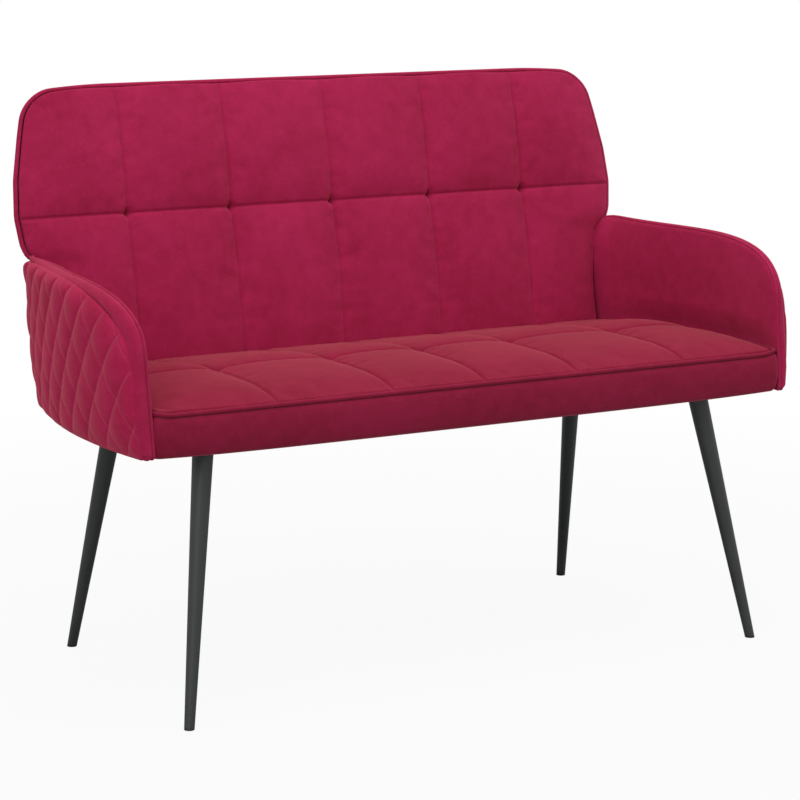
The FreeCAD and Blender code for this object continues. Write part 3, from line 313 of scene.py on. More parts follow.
def seat_edge(inset, rear, turn=0.0, tuck=0.0):
    """The seat's edge in plan, from the left rear round the front to the right rear, and which way is out."""
    front, radius, corner = SEAT_FRONT + inset, SEAT_RADIUS - inset, SEAT_CORNER - inset
    corner_y = front + corner
    corner_x = ARM_AXIS_X + math.sqrt((radius - corner) ** 2 - (corner_y - ARM_APEX_Y) ** 2)
    first = math.atan2(corner_y - ARM_APEX_Y, corner_x - ARM_AXIS_X)
    last = math.asin((rear - turn - ARM_APEX_Y) / radius)
    straight = np.linspace(0.0, corner_x, STRAIGHT_STEPS)[:-1]
    bend = np.linspace(-math.pi / 2, first, BEND_STEPS)[:-1]
    side = np.linspace(first, last, SIDE_STEPS)
    x = [straight, corner_x + corner * np.cos(bend), ARM_AXIS_X + radius * np.cos(side)]
    y = [np.full_like(straight, front), corner_y + corner * np.sin(bend), ARM_APEX_Y + radius * np.sin(side)]
    way = [np.full_like(straight, -math.pi / 2), bend, side]
    if turn:
        back = np.linspace(last, math.pi / 2, TURN_STEPS)[1:]
        inner = np.linspace(0.0, tuck, TURN_STEPS)[1:]
        turn_x, turn_y = x[2][-1] - turn * math.cos(last), y[2][-1] - turn * math.sin(last)
        x += [turn_x + turn * np.cos(back), turn_x - inner]
        y += [turn_y + turn * np.sin(back), np.full_like(inner, turn_y + turn)]
        way += [back, np.full_like(inner, math.pi / 2)]
    x, y, way = np.concatenate(x), np.concatenate(y), np.concatenate(way)
    x, y = np.concatenate([-x[:0:-1], x]), np.concatenate([y[:0:-1], y])
    way = np.concatenate([math.pi - way[:0:-1], way])
    return x, y, way


def seat_rim(x, y):
    """How high the seat's edge seam is: low along the front, higher at the corners, lower at the rear."""
    corner = np.clip((np.abs(x) - RIM_START) / RIM_RUN, 0, 1)
    rear = np.clip((y - RIM_REAR_START) / RIM_REAR_RUN, 0, 1)
    return RIM_Z + RIM_RISE * corner ** 2 * (3 - 2 * corner) * (1 - RIM_REAR_FALL * rear ** 2)


def tidy(piece):
    """Joins doubled points, turns every face outwards and shades the piece smooth."""
    pick(piece)
    bpy.ops.object.mode_set(mode="EDIT")
    bpy.ops.mesh.select_all(action="SELECT")
    bpy.ops.mesh.remove_doubles(threshold=SAME_POINT)
    bpy.ops.mesh.normals_make_consistent(inside=False)
    bpy.ops.object.mode_set(mode="OBJECT")
    bpy.ops.object.shade_smooth()


def upholster(piece, cloth, *covered):
    """Gives a finished piece its velvet, fixes it to the root body and hides the CAD pieces it stands for."""
    piece.data.materials.append(cloth)
    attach(piece, "root")
    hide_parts(*covered)


edge_x, edge_y, edge_way = seat_edge(0.0, BOXING_REAR + BOXING_TURN, BOXING_TURN, BOXING_TUCK)


def boxing_place(s, t):
    """The band: swollen and hanging a little in front, flat beside the arms, turned in at both edges."""
    index = np.rint(s * (len(edge_x) - 1)).astype(int)
    facing = np.clip(-np.sin(edge_way[index]), 0, 1) ** 0.4
    across = 2 * t - 1
    x, y = edge_x[index], edge_y[index]
    low = BOXING_LOW - BOXING_SAG * (1 - np.minimum(np.abs(x) / BOXING_SAG_REACH, 1) ** 4) * facing
    z = low + (seat_rim(x, y) - BOXING_UNDER - low) * t
    under = BOXING_TURN_UNDER * np.clip((BOXING_TURN_Z - z) / BOXING_TURN_RISE, 0, 1) ** 2
    out = BOXING_SWELL * facing * (1 - across ** 2) - BOXING_ROLL * np.abs(across) ** 9 - under
    return x + out * np.cos(edge_way[index]), y + out * np.sin(edge_way[index]), z


seat_boxing = skin("seat_boxing_band", len(edge_x) - 1, BOXING_ROWS, boxing_place)
change(seat_boxing, "SOLIDIFY", thickness=BOXING_THICK, offset=-1.0)
tidy(seat_boxing)
# The boxing gets a darker copy of the velvet: painted shade over the band that faces forward under the seat's
# edge.
shaded_boxing_velvet = velvet("wine_velvet_boxing_painted_shade", "#760F2A", "#951D42", 0.42)
upholster(seat_boxing, shaded_boxing_velvet, "seat_boxing")

# Seat piping: a cord sewn into a strip of the same velvet, caught in the seam between the boxing and the top.
# It runs round the front and both sides.

PIPING_RADIUS, PIPING_REAR = 0.0031, 0.1338


def welt(name, at, radius, closed=False):
    """A covered cord along points: a chain of edges made a curve, thickened and made a mesh again."""
    count = len(at)
    links = [(index, (index + 1) % count) for index in range(count if closed else count - 1)]
    mesh = bpy.data.meshes.new(name)
    mesh.from_pydata([tuple(place) for place in at], links, [])
    piece = bpy.data.objects.new(name, mesh)
    bpy.context.scene.collection.objects.link(piece)
    pick(piece)
    bpy.ops.object.convert(target="CURVE")
    piece = bpy.context.object
    piece.data.bevel_depth = radius
    piece.data.bevel_resolution = 3
    piece.data.use_fill_caps = not closed
    bpy.ops.object.convert(target="MESH")
    piece = bpy.context.object
    piece.name = name
    tidy(piece)
    return piece


piping_x, piping_y, _ = seat_edge(PIPING_RADIUS, PIPING_REAR)
seat_piping = welt("seat_piping_cord", np.column_stack([piping_x, piping_y, seat_rim(piping_x, piping_y)]),
                   PIPING_RADIUS)
# The piping takes the boxing's darker copy of the velvet, with its painted shade.
upholster(seat_piping, shaded_boxing_velvet, "seat_piping")

# Seat cushion: a velvet top over fibre and foam, sewn into six columns and two rows. Five tufts pull it down
# where the seams cross, so each panel stands up as a soft pillow.

SEAT_SEAMS = (-0.332, -0.148, 0.004, 0.160, 0.350)
SEAT_CROSS_Y = -0.073
COLUMNS, ROWS, NEAR_SEAM = 6, 2, 0.5
GRID_ACROSS, GRID_ALONG = 174, 66
TOP_FRONT, TOP_REAR, TOP_RADIUS, TOP_CORNER = -0.2629, 0.1402, 0.8762, 0.006
TOP_Z, TOP_FLOOR = 0.438, 0.4205
SEAT_RIM_RISE, SEAT_SIDE_DIP, SEAT_TUFT_RISE = 0.0030, 0.0035, 0.0165
SEAT_FRONT_CROWN, SEAT_REAR_CROWN, SEAT_CROSS_CROWN, SEAT_PILLOW = 0.0085, 0.0030, 0.0080, 0.0040
FRONT_NOSE_PEAK, REAR_NOSE_PEAK = 0.775, 0.49
SEAT_GROOVE, SEAT_GROOVE_WIDE = 0.0026, 0.0026
SEAT_PIT, SEAT_PIT_WIDE = 0.0050, 0.0080
SEAT_SWELL, SEAT_CALM, SEAT_CALM_Y, SEAT_CALM_RUN = 0.005, 0.004, -0.06, 0.10
PRESSURE, SWELL_FRAMES, CLOTH_GROWTH, CLOTH_STIFF, CLOTH_BEND = 4.0, 20, 0.004, 20.0, 2.0
AT_RIM, AT_SEAM, FACE_MARGIN = 0.0005, 0.0008, 0.002


def crowded(share, amount):
    """Shares with more of them near both ends."""
    return share - amount * np.sin(2 * np.pi * share) / (2 * np.pi)


def gathered(share, count):
    """Shares along a row of panels: which panel, and the share within it with points drawn to the seams."""
    panel = np.minimum((share * count).astype(int), count - 1)
    return panel, crowded(share * count - panel, NEAR_SEAM)


def hump(share, sharp=0.6):
    """A pillow's rise over a panel: nought at the seams, one in the middle, steep at first."""
    return np.maximum(4 * share * (1 - share), 0) ** sharp


def seat_grid(s, t):
    """Where a point of the top lies in plan, and its shares within its panel."""
    panel, across = gathered(s, COLUMNS)
    row, along = gathered(t, ROWS)
    y = np.where(row == 0, TOP_FRONT + (SEAT_CROSS_Y - TOP_FRONT) * along,
                 SEAT_CROSS_Y + (TOP_REAR - SEAT_CROSS_Y) * along)
    side = out_to(TOP_RADIUS, y)
    lines = np.array([0.0, *SEAT_SEAMS, 0.0])
    low = np.where(panel == 0, -side, lines[panel])
    high = np.where(panel == COLUMNS - 1, side, lines[panel + 1])
    x = low + (high - low) * across
    return x, y, panel, across, row, np.where(row == 0, along, 1 - along)


def seat_place(s, t):
    """The sewn top: low at the edges and tufts, higher along the seams, highest in each panel's middle. The
    front row has a round nose, and the rear row lies down towards the back."""
    x, y, panel, across, row, inward = seat_grid(s, t)
    at_side = np.where(panel == 0, 1 - across, np.where(panel == COLUMNS - 1, across, 0.0))
    front_nose = (1 - (1 - inward) ** 5) * (1 - inward ** 2) / FRONT_NOSE_PEAK
    rear_nose = (1 - inward ** 5) * inward ** 1.5 / REAR_NOSE_PEAK
    nose = np.where(row == 0, front_nose, rear_nose)
    crown = np.where(row == 0, SEAT_FRONT_CROWN, SEAT_REAR_CROWN)
    rim = seat_rim(x, np.where(row == 0, TOP_FRONT, TOP_REAR)) + SEAT_RIM_RISE - TOP_Z
    seam = rim + (SEAT_TUFT_RISE - rim) * inward + crown * nose
    side = seat_rim(out_to(TOP_RADIUS, y), y) + SEAT_RIM_RISE - TOP_Z - SEAT_SIDE_DIP * inward ** 4
    line = seam + (side - seam) * at_side ** 2.5
    cross = SEAT_CROSS_CROWN * hump(across, 0.6) * inward ** 1.5
    z = TOP_Z + line + cross + SEAT_PILLOW * hump(across, 0.5) * nose
    wide, deep = 2 * out_to(TOP_RADIUS, ARM_APEX_Y), TOP_REAR - TOP_FRONT
    share_x, share_y = 0.5 + x / (2 * out_to(TOP_RADIUS, y)), (y - TOP_FRONT) / deep
    for end in (0, 1):
        share_x, share_y = round_corner(share_x, share_y, end, 0, TOP_CORNER / wide, TOP_CORNER / deep)
    y = TOP_FRONT + deep * share_y
    return (2 * share_x - 1) * out_to(TOP_RADIUS, y), y, z


def plump(piece, held, most):
    """Lets sewn cloth swell: the held points stay, and the rest is blown up by no more than a distance."""
    start = points(piece)
    group = piece.vertex_groups.new(name="held")
    group.add([int(index) for index in np.flatnonzero(held)], 1.0, "REPLACE")
    pick(piece)
    bpy.ops.object.modifier_add(type="CLOTH")
    cloth = piece.modifiers[-1]
    cloth.settings.vertex_group_mass = "held"
    cloth.settings.use_pressure = True
    cloth.settings.uniform_pressure_force = PRESSURE
    cloth.settings.effector_weights.gravity = 0.0
    cloth.settings.shrink_min = -CLOTH_GROWTH
    cloth.settings.tension_stiffness = CLOTH_STIFF
    cloth.settings.compression_stiffness = CLOTH_STIFF
    cloth.settings.bending_stiffness = CLOTH_BEND
    cloth.collision_settings.use_collision = False
    for number in range(1, SWELL_FRAMES + 1):
        bpy.context.scene.frame_set(number)
    bpy.ops.object.modifier_apply(modifier=cloth.name)
    bpy.context.scene.frame_set(1)
    piece.vertex_groups.clear()
    moved = points(piece) - start
    length = np.linalg.norm(moved, axis=1, keepdims=True)
    lay(piece, start + moved * np.minimum(1.0, most / np.maximum(length, 1e-9)))


def close_behind(piece, behind):
    """Draws a cloth's rim to a second place, which behind gives from its points, and fills the hole."""
    before = len(piece.data.vertices)
    pick(piece)
    bpy.ops.object.mode_set(mode="EDIT")
    bpy.ops.mesh.select_mode(type="EDGE")
    bpy.ops.mesh.select_all(action="SELECT")
    bpy.ops.mesh.region_to_loop()
    bpy.ops.mesh.extrude_edges_move()
    bpy.ops.object.mode_set(mode="OBJECT")
    at = points(piece)
    at[before:] = behind(at[before:])
    lay(piece, at)
    bpy.ops.object.mode_set(mode="EDIT")
    bpy.ops.mesh.fill_grid()
    bpy.ops.object.mode_set(mode="OBJECT")
    at = points(piece)
    at[before:] = behind(at[before:])
    lay(piece, at)


def on_floor(at):
    """The flat underside of the seat's top."""
    return np.column_stack([at[:, 0], at[:, 1], np.full(len(at), TOP_FLOOR)])


def seat_gap(x, y):
    """How far a point is from the nearest seam of the seat, and from the nearest tuft."""
    to_depth = np.min([np.abs(x - seam) for seam in SEAT_SEAMS], axis=0)
    to_cross = np.abs(y - SEAT_CROSS_Y)
    return np.minimum(to_depth, to_cross), np.hypot(to_depth, to_cross)


seat_cushion = skin("seat_cushion_top", GRID_ACROSS, GRID_ALONG, seat_place)
at = points(seat_cushion)
rim_y = (at[:, 1] < TOP_FRONT + AT_RIM) | (at[:, 1] > TOP_REAR - AT_RIM)
rim_x = np.abs(at[:, 0]) > out_to(TOP_RADIUS, at[:, 1]) - AT_RIM
most = SEAT_SWELL - SEAT_CALM * np.clip((at[:, 1:2] - SEAT_CALM_Y) / SEAT_CALM_RUN, 0, 1)
plump(seat_cushion, rim_y | rim_x | (seat_gap(at[:, 0], at[:, 1])[0] < AT_SEAM), most)
close_behind(seat_cushion, on_floor)
change(seat_cushion, "SUBSURF", levels=1, render_levels=1)
at = points(seat_cushion)
to_seam, to_tuft = seat_gap(at[:, 0], at[:, 1])
sunk = SEAT_GROOVE * np.exp(-(to_seam / SEAT_GROOVE_WIDE) ** 2)
sunk += SEAT_PIT * np.exp(-(to_tuft / SEAT_PIT_WIDE) ** 2)
at[:, 2] -= np.where(at[:, 2] > TOP_Z - FACE_MARGIN, sunk, 0.0)
lay(seat_cushion, at)
tidy(seat_cushion)
# The seat's top gets a darker copy of the velvet with more sheen: painted shade over its whole top.
shaded_seat_velvet = velvet("wine_velvet_seat_painted_shade", "#780E28", "#971C3F", 0.50)
upholster(seat_cushion, shaded_seat_velvet, "seat_cushion", "seat_foam")

# Back cushion: the same velvet, fibre and foam, leaned back on its board. It is sewn into six columns with
# one cross seam and five tufts, narrows to a waist between the arms and has rounded shoulders.

BACK_FOOT_Y, BACK_FOOT_Z, BACK_LEAN = 0.13377, 0.380, math.radians(11.3)
BACK_SEAMS = (0.0, 0.175, 0.347)
BACK_CROSS = 0.280
BACK_LOW, BACK_TOP, BACK_BOW, BACK_BOW_START = 0.0485, 0.4755, 0.0085, 0.72
BACK_UPS = (0.0, 0.115, 0.160, 0.2145, 0.2250, 0.2430, 0.285, 0.340, 0.400, 0.440, 0.476)
BACK_SIDES = (0.4722, 0.4726, 0.4770, 0.4890, 0.5115, 0.5185, 0.5235, 0.5192, 0.5072, 0.4978, 0.4890)
BACK_EASE, BACK_CORNER, BACK_INSET = 0.009, 0.046, 0.0054
BACK_SEAM_CROWN, BACK_TUFT, BACK_CROSS_CROWN, BACK_PILLOW = 0.0060, 0.0030, 0.0060, 0.0070
BACK_RISE_START, BACK_RISE_SPAN = 0.02, 0.92
BACK_GROOVE, BACK_GROOVE_WIDE, BACK_GROOVE_FADE = 0.0024, 0.0021, 0.045
BACK_PIT, BACK_PIT_WIDE = 0.0090, 0.0060
BACK_REAR, BACK_DRAW, BACK_RIM_DEEP, BACK_SWELL = 0.0250, 0.988, 0.0006, 0.006


def lean(x, deep, up):
    """Places a point that is given across the back, behind its front and up along it."""
    y = BACK_FOOT_Y + deep * math.cos(BACK_LEAN) + up * math.sin(BACK_LEAN)
    z = BACK_FOOT_Z - deep * math.sin(BACK_LEAN) + up * math.cos(BACK_LEAN)
    return x, y, z


def half_width(up):
    """Half the back's width at a height: a waist between the arms, hips, and shoulders that draw in."""
    reach = np.linspace(-0.5, 0.5, 9) * BACK_EASE
    return np.mean([np.interp(up + step, BACK_UPS, BACK_SIDES) for step in reach], axis=0)


def back_shape(x_share, up_share, low, inset):
    """A point of the back's outline, drawn in by an inset: shares run from side to side and low to top."""
    wide, high = 2 * max(BACK_SIDES), BACK_TOP - inset - low
    reach = BACK_CORNER - inset
    for end in (0, 1):
        x_share, up_share = round_corner(x_share, up_share, end, 1, reach / wide, reach / high)
    bow = np.clip((np.abs(2 * x_share - 1) - BACK_BOW_START) / (1 - BACK_BOW_START), 0, 1) ** 2
    up = low + high * up_share - BACK_BOW * bow * up_share ** 6
    return (2 * x_share - 1) * (half_width(up) - inset), up


def back_place(s, t):
    """The sewn front of the back, swelling forward between its seams."""
    top = BACK_TOP - BACK_INSET
    panel, across = gathered(s, COLUMNS)
    row, along = gathered(t, ROWS)
    up = np.where(row == 0, BACK_LOW + (BACK_CROSS - BACK_LOW) * along,
                  BACK_CROSS + (top - BACK_CROSS) * along)
    side = half_width(up) - BACK_INSET
    lines = np.array([0.0, -BACK_SEAMS[2], -BACK_SEAMS[1], 0.0, BACK_SEAMS[1], BACK_SEAMS[2], 0.0])
    low = np.where(panel == 0, -side, lines[panel])
    high = np.where(panel == COLUMNS - 1, side, lines[panel + 1])
    x = low + (high - low) * across
    x, up = back_shape(0.5 + x / (2 * side), (up - BACK_LOW) / (top - BACK_LOW), BACK_LOW, BACK_INSET)
    inward = np.where(row == 0, along, 1 - along)
    at_side = np.where(panel == 0, 1 - across, np.where(panel == COLUMNS - 1, across, 0.0))
    line = (BACK_TUFT * inward + BACK_SEAM_CROWN * hump(inward, 0.8)) * (1 - at_side)
    cross = BACK_CROSS_CROWN * hump(across, 0.7) * inward ** 1.5
    swell = line + cross + BACK_PILLOW * hump(across) * hump(BACK_RISE_START + BACK_RISE_SPAN * inward)
    return lean(x, -swell, up)


def unlean(at):
    """The way back from a place to its distances across, behind the front and up along the back."""
    y, z = at[:, 1] - BACK_FOOT_Y, at[:, 2] - BACK_FOOT_Z
    return (at[:, 0], y * math.cos(BACK_LEAN) - z * math.sin(BACK_LEAN),
            y * math.sin(BACK_LEAN) + z * math.cos(BACK_LEAN))


def back_gap(x, up):
    """How far a point is from the nearest seam of the back, and from the nearest tuft."""
    to_column = np.min([np.abs(np.abs(x) - seam) for seam in BACK_SEAMS], axis=0)
    to_cross = np.abs(up - BACK_CROSS)
    return np.minimum(to_column, to_cross), np.hypot(to_column, to_cross)


def behind_back(at):
    """The flat rear of the cushion, drawn in a little from its front."""
    x, _, up = unlean(at)
    rear = np.full_like(x, BACK_REAR)
    return np.column_stack(lean(BACK_DRAW * x, rear, BACK_LOW + BACK_DRAW * (up - BACK_LOW)))


back_cushion = skin("back_cushion_front", GRID_ACROSS, GRID_ALONG, back_place)
x, deep, up = unlean(points(back_cushion))
held = (deep > -BACK_RIM_DEEP) | (back_gap(x, up)[0] < AT_SEAM)
plump(back_cushion, held, BACK_SWELL)
close_behind(back_cushion, behind_back)
change(back_cushion, "SUBSURF", levels=1, render_levels=1)
x, deep, up = unlean(points(back_cushion))
to_seam, to_tuft = back_gap(x, up)
fade = np.clip((BACK_TOP - up) / BACK_GROOVE_FADE, 0, 1)
sunk = BACK_GROOVE * fade * np.exp(-(to_seam / BACK_GROOVE_WIDE) ** 2)
sunk += BACK_PIT * np.exp(-(to_tuft / BACK_PIT_WIDE) ** 2)
lay(back_cushion, np.column_stack(lean(x, deep + np.where(deep < FACE_MARGIN, sunk, 0.0), up)))
tidy(back_cushion)
plain_velvet = velvet("wine_velvet", "#911538", "#B52658", 0.42)
upholster(back_cushion, plain_velvet, "back_cushion", "back_foam")

# Back piping: a covered cord in the seam between the back's front and its rear cover. It runs up one side,
# over the top and down the other.

BACK_PIPING, BACK_PIPING_DEEP = 0.0034, 0.0048
BACK_WELT_LOW, BACK_WELT_CUT, BACK_WELT_STEPS = 0.0463, 0.0465, 420
EDGE_SAMPLES = 4000


def edge_of(shape, count):
    """The closed edge of a shape over the unit square, anticlockwise in even steps, and its normals."""
    turn = np.linspace(0, 4, EDGE_SAMPLES, endpoint=False)
    s = np.clip(np.minimum(turn, 3 - turn), 0, 1)
    t = np.clip(np.minimum(turn - 1, 4 - turn), 0, 1)
    a, b = shape(s, t)
    run = np.concatenate([[0], np.cumsum(np.hypot(np.diff(a, append=a[0]), np.diff(b, append=b[0])))])
    even = np.linspace(0, run[-1], count, endpoint=False)
    a, b = np.interp(even, run, np.append(a, a[0])), np.interp(even, run, np.append(b, b[0]))
    along_a, along_b = np.roll(a, -1) - np.roll(a, 1), np.roll(b, -1) - np.roll(b, 1)
    length = np.hypot(along_a, along_b)
    return a, b, along_b / length, -along_a / length


def welt_shape(s, t):
    return back_shape(s, t, BACK_WELT_LOW, BACK_PIPING)


welt_x, welt_up, _, _ = edge_of(welt_shape, BACK_WELT_STEPS)
above = np.flatnonzero(welt_up > BACK_WELT_CUT)
first = above[np.argmin(np.where(welt_x[above] > 0, welt_up[above], 1.0))]
order = np.roll(np.arange(BACK_WELT_STEPS), -first)
order = order[welt_up[order] > BACK_WELT_CUT]
welt_deep = np.full(len(order), BACK_PIPING_DEEP)
back_piping = welt("back_piping_cord", np.column_stack(lean(welt_x[order], welt_deep, welt_up[order])),
                   BACK_PIPING)
upholster(back_piping, plain_velvet, "back_piping")

# Back rear cover: plain velvet over wadding on the rear of the board, drawn round to the piping. Its edges
# roll in, and it closes under the board at the seat's rear.

REAR_LOW, REAR_START, REAR_DEEP, REAR_ROUND, REAR_CROWN = -0.0020, 0.0083, 0.0560, 0.046, 0.004
REAR_INSET, REAR_THICK, REAR_CROWD, REAR_STEPS = 0.0045, 0.002, 0.6, 2400
REAR_COLUMNS, REAR_ROWS, BATCHES = 150, 80, 80


def apart(edge_a, edge_b, a, b):
    """How far points are from a closed edge, measured to the nearest of its short straight pieces."""
    step_a, step_b = np.roll(edge_a, -1) - edge_a, np.roll(edge_b, -1) - edge_b
    gaps = []
    for some_a, some_b in zip(np.array_split(a, BATCHES), np.array_split(b, BATCHES)):
        off_a, off_b = some_a[:, None] - edge_a, some_b[:, None] - edge_b
        share = np.clip((off_a * step_a + off_b * step_b) / (step_a ** 2 + step_b ** 2), 0, 1)
        gaps.append(np.min(np.hypot(off_a - share * step_a, off_b - share * step_b), axis=1))
    return np.concatenate(gaps)


def rear_shape(s, t):
    return back_shape(s, t, REAR_LOW, REAR_INSET)


rear_x, rear_up, _, _ = edge_of(rear_shape, REAR_STEPS)


def rear_place(s, t):
    """The padded rear: rounded from the piping to a nearly flat face."""
    s, t = crowded(s, REAR_CROWD), crowded(t, REAR_CROWD)
    x, up = rear_shape(s, t)
    share = np.clip(apart(rear_x, rear_up, x, up) / REAR_ROUND, 0, 1)
    deep = REAR_START + REAR_DEEP * np.sqrt(1 - (1 - share) ** 2)
    return lean(x, deep - REAR_CROWN * (2 * s - 1) ** 2, up)


rear_cover = skin("back_rear_cover_cloth", REAR_COLUMNS, REAR_ROWS, rear_place)
change(rear_cover, "SOLIDIFY", thickness=REAR_THICK, offset=1.0)
tidy(rear_cover)
upholster(rear_cover, plain_velvet, "back_rear_cover")

# Arm linings: plain velvet over thin foam on the inside of each arm's bent panel. The lining stops at the
# piping that runs round the arm's edge, and its upper rear corner rolls outwards to meet the back's hip.

ARM_CORNERS = ((-0.2752, 0.3785), (0.1580, 0.3805), (0.1972, 0.6055), (-0.2495, 0.6018))
ARM_FOOT_ROUND, ARM_REAR_RUN, ARM_REAR_DROP, ARM_REAR_FULL = 0.009, 0.034, 0.036, 2.0
ARM_FRONT_RUN, ARM_FRONT_DROP, ARM_FRONT_FULL = 0.234, 0.095, 3.0
ARM_FLARE, FLARE_Y, FLARE_RUN, FLARE_Z, FLARE_RISE = 0.024, 0.030, 0.120, 0.530, 0.0755
ARM_STEPS = 480
LINING_RADIUS, LINING_EDGE, LINING_ROLL, LINING_INSET, LINING_THICK = 0.8850, 0.0024, 0.007, 0.003, 0.0018
LINING_SWELL, LINING_SWELL_REACH = 0.0065, 0.07
LINING_FREE_Z, LINING_FREE_RISE, LINING_FREE_Y, LINING_FREE_RUN = 0.450, 0.03, 0.13, 0.06
LINING_BEHIND, LINING_BEHIND_Z, LINING_BEHIND_DROP = 0.0014, 0.465, 0.02
LINING_COLUMNS, LINING_ROWS, LINING_CROWD = 120, 64, 0.6


def arm_side(s, t):
    """A point of the arm's side outline: shares run from front to rear and from the foot to the top."""
    (front_y, foot_z), (rear_y, heel_z), (top_rear_y, top_rear_z), (top_front_y, top_front_z) = ARM_CORNERS
    foot_run, top_run = rear_y - front_y, top_rear_y - top_front_y
    front_run, rear_run = top_front_z - foot_z, top_rear_z - foot_z
    s, t = round_corner(s, t, 0, 0, ARM_FOOT_ROUND / foot_run, ARM_FOOT_ROUND / front_run)
    s, t = round_corner(s, t, 1, 0, ARM_FOOT_ROUND / foot_run, ARM_FOOT_ROUND / rear_run)
    s, t = round_corner(s, t, 1, 1, ARM_REAR_RUN / top_run, ARM_REAR_DROP / rear_run, ARM_REAR_FULL)
    s, t = round_corner(s, t, 0, 1, ARM_FRONT_RUN / top_run, ARM_FRONT_DROP / front_run, ARM_FRONT_FULL)
    y = (1 - t) * (front_y + foot_run * s) + t * (top_front_y + top_run * s)
    z = (1 - t) * (foot_z + (heel_z - foot_z) * s) + t * (top_front_z + (top_rear_z - top_front_z) * s)
    return y, z


def flare(y, z):
    """How far the arm rolls outwards at its upper rear corner."""
    behind = np.clip((y - FLARE_Y) / FLARE_RUN, 0, 1)
    above = np.clip((z - FLARE_Z) / FLARE_RISE, 0, 1)
    return ARM_FLARE * behind ** 2 * above ** 2


arm_y, arm_z, arm_out_y, arm_out_z = edge_of(arm_side, ARM_STEPS)
middle_y, middle_z = np.mean(arm_y), np.mean(arm_z)
half_y, half_z = np.ptp(arm_y) / 2, np.ptp(arm_z) / 2


def drawn_in(y, z, distance):
    """Draws a grid over the arm's outline in towards its middle, by a distance at the outline."""
    return y + (middle_y - y) * distance / half_y, z + (middle_z - z) * distance / half_z


def lining_place(s, t):
    """The lining: rolled in at its edge, and swollen where it is clear of the seat and the back."""
    y, z = drawn_in(*arm_side(crowded(s, LINING_CROWD), crowded(t, LINING_CROWD)), LINING_INSET)
    inside = np.maximum(apart(arm_y, arm_z, y, z) - LINING_INSET, 0)
    roll = np.sqrt(1 - (1 - np.clip(inside / LINING_ROLL, 0, 1)) ** 2)
    free = np.clip((z - LINING_FREE_Z) / LINING_FREE_RISE, 0, 1)
    free = free * np.clip((LINING_FREE_Y - y) / LINING_FREE_RUN, 0, 1)
    swell = LINING_SWELL * free * (1 - (1 - np.clip(inside / LINING_SWELL_REACH, 0, 1)) ** 2)
    behind = LINING_BEHIND * np.clip((LINING_BEHIND_Z - z) / LINING_BEHIND_DROP, 0, 1)
    radius = LINING_RADIUS + behind + LINING_EDGE * (1 - roll) - swell + flare(y, z)
    return out_to(radius, y), y, z


def mirror_copy(piece, name):
    """A left-hand copy of a right-hand piece, with a mesh of its own."""
    pick(piece)
    bpy.ops.object.duplicate()
    copy = bpy.context.object
    copy.name = name
    at = points(copy)
    at[:, 0] *= -1
    lay(copy, at)
    tidy(copy)
    return copy


def both_arms(piece, node, cloth):
    """Upholsters a right-hand piece and its left-hand copy."""
    left = mirror_copy(piece, piece.name.replace("right", "left"))
    for side, hand in ((piece, "right"), (left, "left")):
        upholster(side, cloth, f"{hand}_{node}")


lining = skin("right_arm_lining", LINING_COLUMNS, LINING_ROWS, lining_place)
bpy.ops.object.mode_set(mode="EDIT")
bpy.ops.mesh.select_all(action="SELECT")
bpy.ops.mesh.flip_normals()
bpy.ops.object.mode_set(mode="OBJECT")
change(lining, "SOLIDIFY", thickness=LINING_THICK, offset=-1.0)
tidy(lining)
both_arms(lining, "arm_inner_pad", plain_velvet)

# Arm piping: a covered cord sewn between the lining and the edge band, all round each arm. It is thinner than
# the cords of the seat and the back.

ARM_WELT, ARM_WELT_RADIUS, ARM_WELT_INSET = 0.0022, 0.8886, 0.0024

welt_y, welt_z = arm_y - arm_out_y * ARM_WELT_INSET, arm_z - arm_out_z * ARM_WELT_INSET
welt_x = out_to(ARM_WELT_RADIUS + flare(welt_y, welt_z), welt_y)
arm_piping = welt("right_arm_piping_cord", np.column_stack([welt_x, welt_y, welt_z]), ARM_WELT, closed=True)
both_arms(arm_piping, "arm_piping", plain_velvet)

# Arm edge band: a narrow strip of velvet drawn over the panel's edge, between the piping and the quilted
# cover. It is round across, and falls away to the outer side.

BAND_START, BAND_WIDE, BAND_THICK, BAND_ROWS = 0.8900, 0.0165, 0.0006, 32
BAND_SHARES = (0.0, 0.10, 0.16, 0.24, 0.36, 0.52, 0.68, 0.82, 0.93, 1.0)
BAND_TOP = (-0.0025, -0.0021, -0.0010, -0.0002, 0.0000, -0.0003, -0.0010, -0.0020, -0.0032, -0.0045)
BAND_FRONT = (-0.0025, -0.0022, -0.0012, -0.0003, 0.0004, 0.0000, -0.0016, -0.0040, -0.0066, -0.0092)
BAND_CORNER, BAND_CORNER_GAIN, BAND_CORNER_Z, BAND_CORNER_RISE = 0.0105, 1.6, 0.45, 0.10
BAND_FOOT, BAND_FOOT_Z, BAND_FOOT_RISE, BAND_FLARE = 0.75, 0.384, 0.03, 0.55
ARM_FRONT_Y, ARM_FRONT_FADE = -0.02, 0.16


